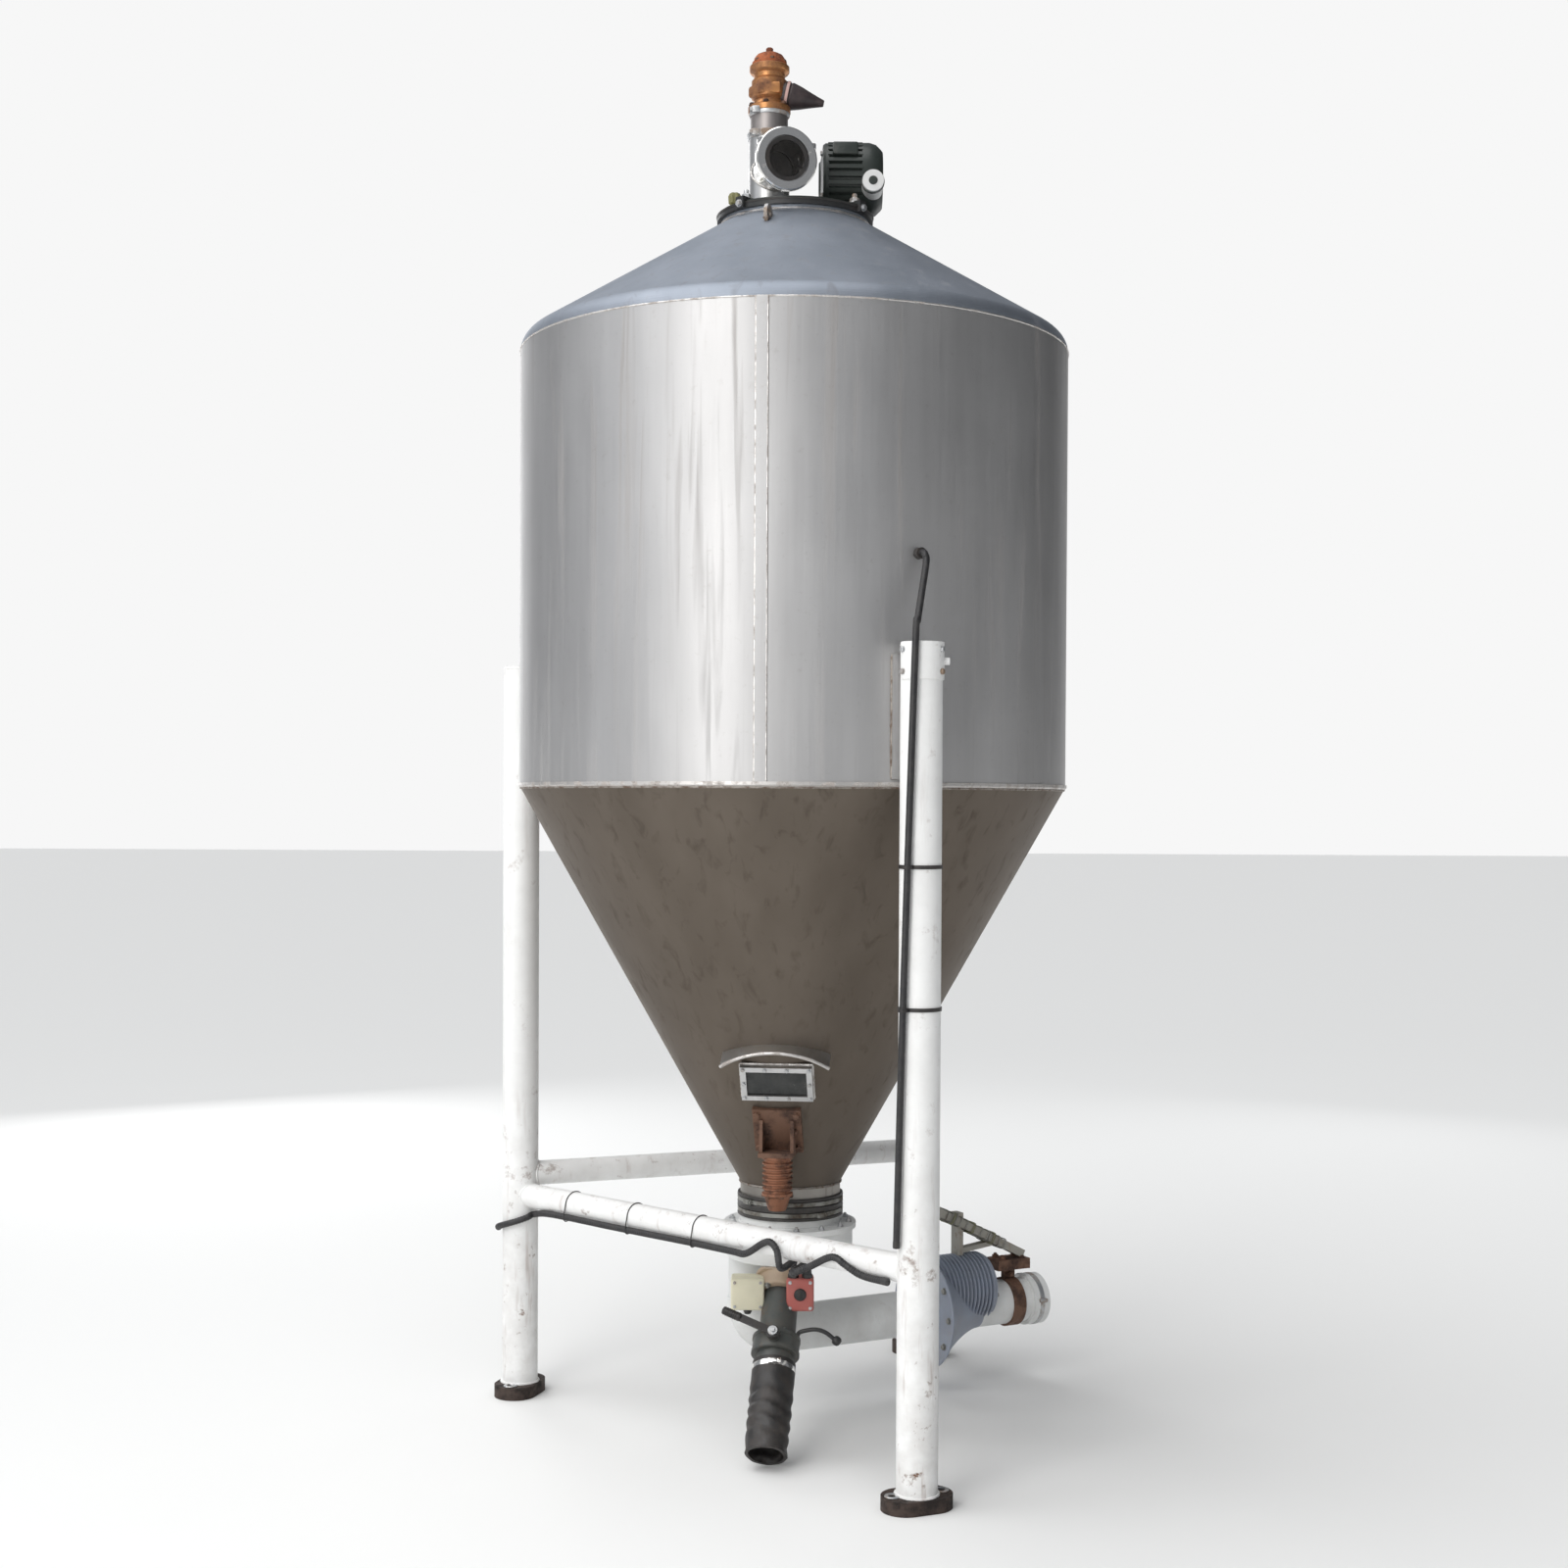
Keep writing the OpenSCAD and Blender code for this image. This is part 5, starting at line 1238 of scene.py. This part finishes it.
gate = spout @ move(0, 0, GATE_AT + GATE_LENGTH / 2) @ spin(-90, "Y")
HUB_FROM, HUB_H, LEVER_LENGTH, GRIP_LENGTH, LEVER_TURN = 0.0644, 0.014, 0.128, 0.044, -113
lever = gate @ move(0, 0, HUB_FROM) @ spin(LEVER_TURN, "Z")
bm = bmesh.new()
grip = lever @ move(LEVER_LENGTH - GRIP_LENGTH, 0, HUB_H - 0.004) @ spin(90, "Y")
ridges = [(0, -0.001), (0.0085, -0.001), (0.0096, 0.002)]
for k in range(7):
    at = 0.005 + k * 0.005
    ridges += [(0.0100, at), (0.0100, at + 0.002), (0.0088, at + 0.003), (0.0088, at + 0.004)]
ridges += [(0.0098, GRIP_LENGTH - 0.003), (0.0085, GRIP_LENGTH + 0.001), (0.004, GRIP_LENGTH + 0.003),
           (0, GRIP_LENGTH + 0.003)]
turn(bm, ridges, grip, 32)
piece("lever_grip", bm, rubber, body="gate_lever")
bm = bmesh.new()
bolt(bm, gate @ Vector((0, 0, HUB_FROM + HUB_H + 0.0052)), gate.to_3x3() @ Vector((0, 0, 1)), 0.007)
piece("stem_nut", bm, zinc)

# %% [markdown]
# The purge rod and the cables are bars bent along a path. The measured ones are many-sided and kinked at their
# points, so they are bent again here through the same points with a smooth curve between. The two hoses are
# corrugated conduit: their radius rises and falls every few millimetres.

# %% Purge rod
right = Vector((-(spout_end - spout_start).y, (spout_end - spout_start).x, 0)).normalized()
foot = spout_start + down * GATE_AT + right * (SPOUT_R + 0.006)
rod = [foot, foot - down * 0.010, foot - down * 0.018 + Vector((0.008, 0, 0)), foot + Vector((0.040, 0.006, 0.020)),
       foot + Vector((0.064, 0.004, 0.014)), foot + Vector((0.084, 0, 0))]
bm = bmesh.new()
bend(bm, rounded(rod, 8), 0.005, 14)
knob = along(rod[-1], rod[-1] + (rod[-1] - rod[-2]))
turn(bm, [(0, -0.001), (0.008, -0.001), (0.0108, 0.003), (0.0112, 0.008), (0.0100, 0.014), (0.006, 0.0175),
          (0, 0.0182)], knob, 36)
piece("purge_handle", bm, rim_black, ["purge_rod"])

# %% Leg cable
CABLE_R, GLAND_Z, GLAND_AZIMUTH = 0.0075, 2.010, 24
cable_off = leg_r + CABLE_R + 0.004
cable_top, cable_foot = leg_top + 0.020, 0.500 + BRACE_R + 0.024
cable = [around(GLAND_AZIMUTH, shell_r + 0.016 + out, GLAND_Z + rise)
         for out, rise in ((0, 0), (0.008, 0), (0.015, -0.006), (0.020, -0.022))]


def cable_at(share):
    """The cable's place beside the front leg, drifting round it on its way down."""
    turned = math.radians(-16 + share * (-58 + 16))
    return legs[0] + Vector((cable_off * math.sin(turned), -cable_off * math.cos(turned),
                             cable_top + share * (cable_foot - cable_top)))


gland_end = cable[-1]
cable += [gland_end.lerp(cable_at(0), share) for share in (0.45, 0.85)] + [cable_at(k / 5) for k in range(6)]
bm = bmesh.new()
bend(bm, rounded(cable, 10), CABLE_R, 14)
piece("leg_cord", bm, cable_sheath, ["leg_cable"])


def end_cap(bm, path, radius):
    """A moulded cap pushed over the last stretch of a cable or hose."""
    frame_here = along(path[-1], path[-1] + (path[-1] - path[-2]))
    turn(bm, [(0, -0.014), (radius + 0.0001, -0.014), (radius + 0.0003, -0.013), (radius + 0.0003, -0.001),
              (radius - 0.001, 0.0006), (0, 0.0006)], frame_here, 24)


caps = bmesh.new()
end_cap(caps, cable, CABLE_R)

# %% Corrugated hoses
HOSE_R, HOSE_GAP, BRACE_Z = 0.008, 0.002, 0.500
hose_low = (BRACE_R + HOSE_R + HOSE_GAP) / math.sqrt(2)
hose_off = leg_r + HOSE_R + HOSE_GAP
brace_run = legs[0] - legs[1]
brace_out = Vector((brace_run.y, -brace_run.x, 0)).normalized()
WRAP = (45, -90)


def on_brace(share, out=0.0, up=0.0):
    return legs[1] + brace_run * share + brace_out * (hose_low + out) + Vector((0, 0, BRACE_Z - hose_low + up))


left_hose = []
for turned in range(WRAP[1], WRAP[0] + 1, 15):
    a = math.radians(turned)
    fall = 0.016 + 0.040 * (WRAP[0] - turned) / (WRAP[0] - WRAP[1])
    left_hose.append(legs[1] + Vector((hose_off * math.sin(a), -hose_off * math.cos(a), BRACE_Z - hose_low - fall)))
left_hose += [on_brace(0.12), on_brace(0.3, 0.002), on_brace(0.5), on_brace(0.6, 0.003), on_brace(0.64, 0.012, 0.004),
              on_brace(0.68, 0.012, 0.034), on_brace(0.7, 0.014, 0.040), on_brace(0.715, 0.014, 0.024),
              on_brace(0.72, 0.008, -0.014), hose_end(-0.016) + Vector((0, -0.020, 0.042)),
              hose_end(-0.016) + Vector((0, 0, 0.030)), hose_end(-0.016)]
right_hose = [hose_end(0.016), hose_end(0.016) + Vector((0, 0, 0.030)),
              hose_end(0.016) + Vector((0.004, -0.024, 0.042)), on_brace(0.745, 0.006, -0.020),
              on_brace(0.79, 0.012, 0.004), on_brace(0.83, 0.014, 0.030), on_brace(0.85, 0.014, 0.034),
              on_brace(0.87, 0.012, 0.022), on_brace(0.9, 0.003, 0.004), on_brace(0.955)]
bm = bmesh.new()
for hose in (left_hose, right_hose):
    fine = rounded(hose, 6)
    ridged = []
    for a, b in zip(fine, fine[1:]):
        steps = max(1, round((b - a).length / 0.002))
        ridged += [a.lerp(b, s / steps) for s in range(steps)]
    bend(bm, ridged + fine[-1:], lambda i: HOSE_R * (1.0 if i % 3 else 0.86), 12)
piece("corrugated_hoses", bm, cable_sheath, ["brace_hoses"], crisp=50)

end_cap(caps, left_hose[::-1], HOSE_R)
end_cap(caps, right_hose, HOSE_R)
piece("cable_caps", caps, rim_black)

bm = bmesh.new()
TIE = 0.0014
for share in (0.16, 0.33, 0.50):
    middle = legs[1] + brace_run * share + Vector((0, 0, BRACE_Z))
    beside = brace_out * hose_low - Vector((0, 0, hose_low))
    loop = []
    for k in range(48):
        a = 2 * math.pi * k / 48
        way = brace_out * math.cos(a) + Vector((0, 0, 1)) * math.sin(a)
        round_hose = beside.dot(way) + HOSE_R > BRACE_R
        loop.append(middle + (beside + way * (HOSE_R + TIE) if round_hose else way * (BRACE_R + TIE * 0.8)))
    bend(bm, loop, TIE, 6, True)
piece("hose_ties", bm, cable_sheath)
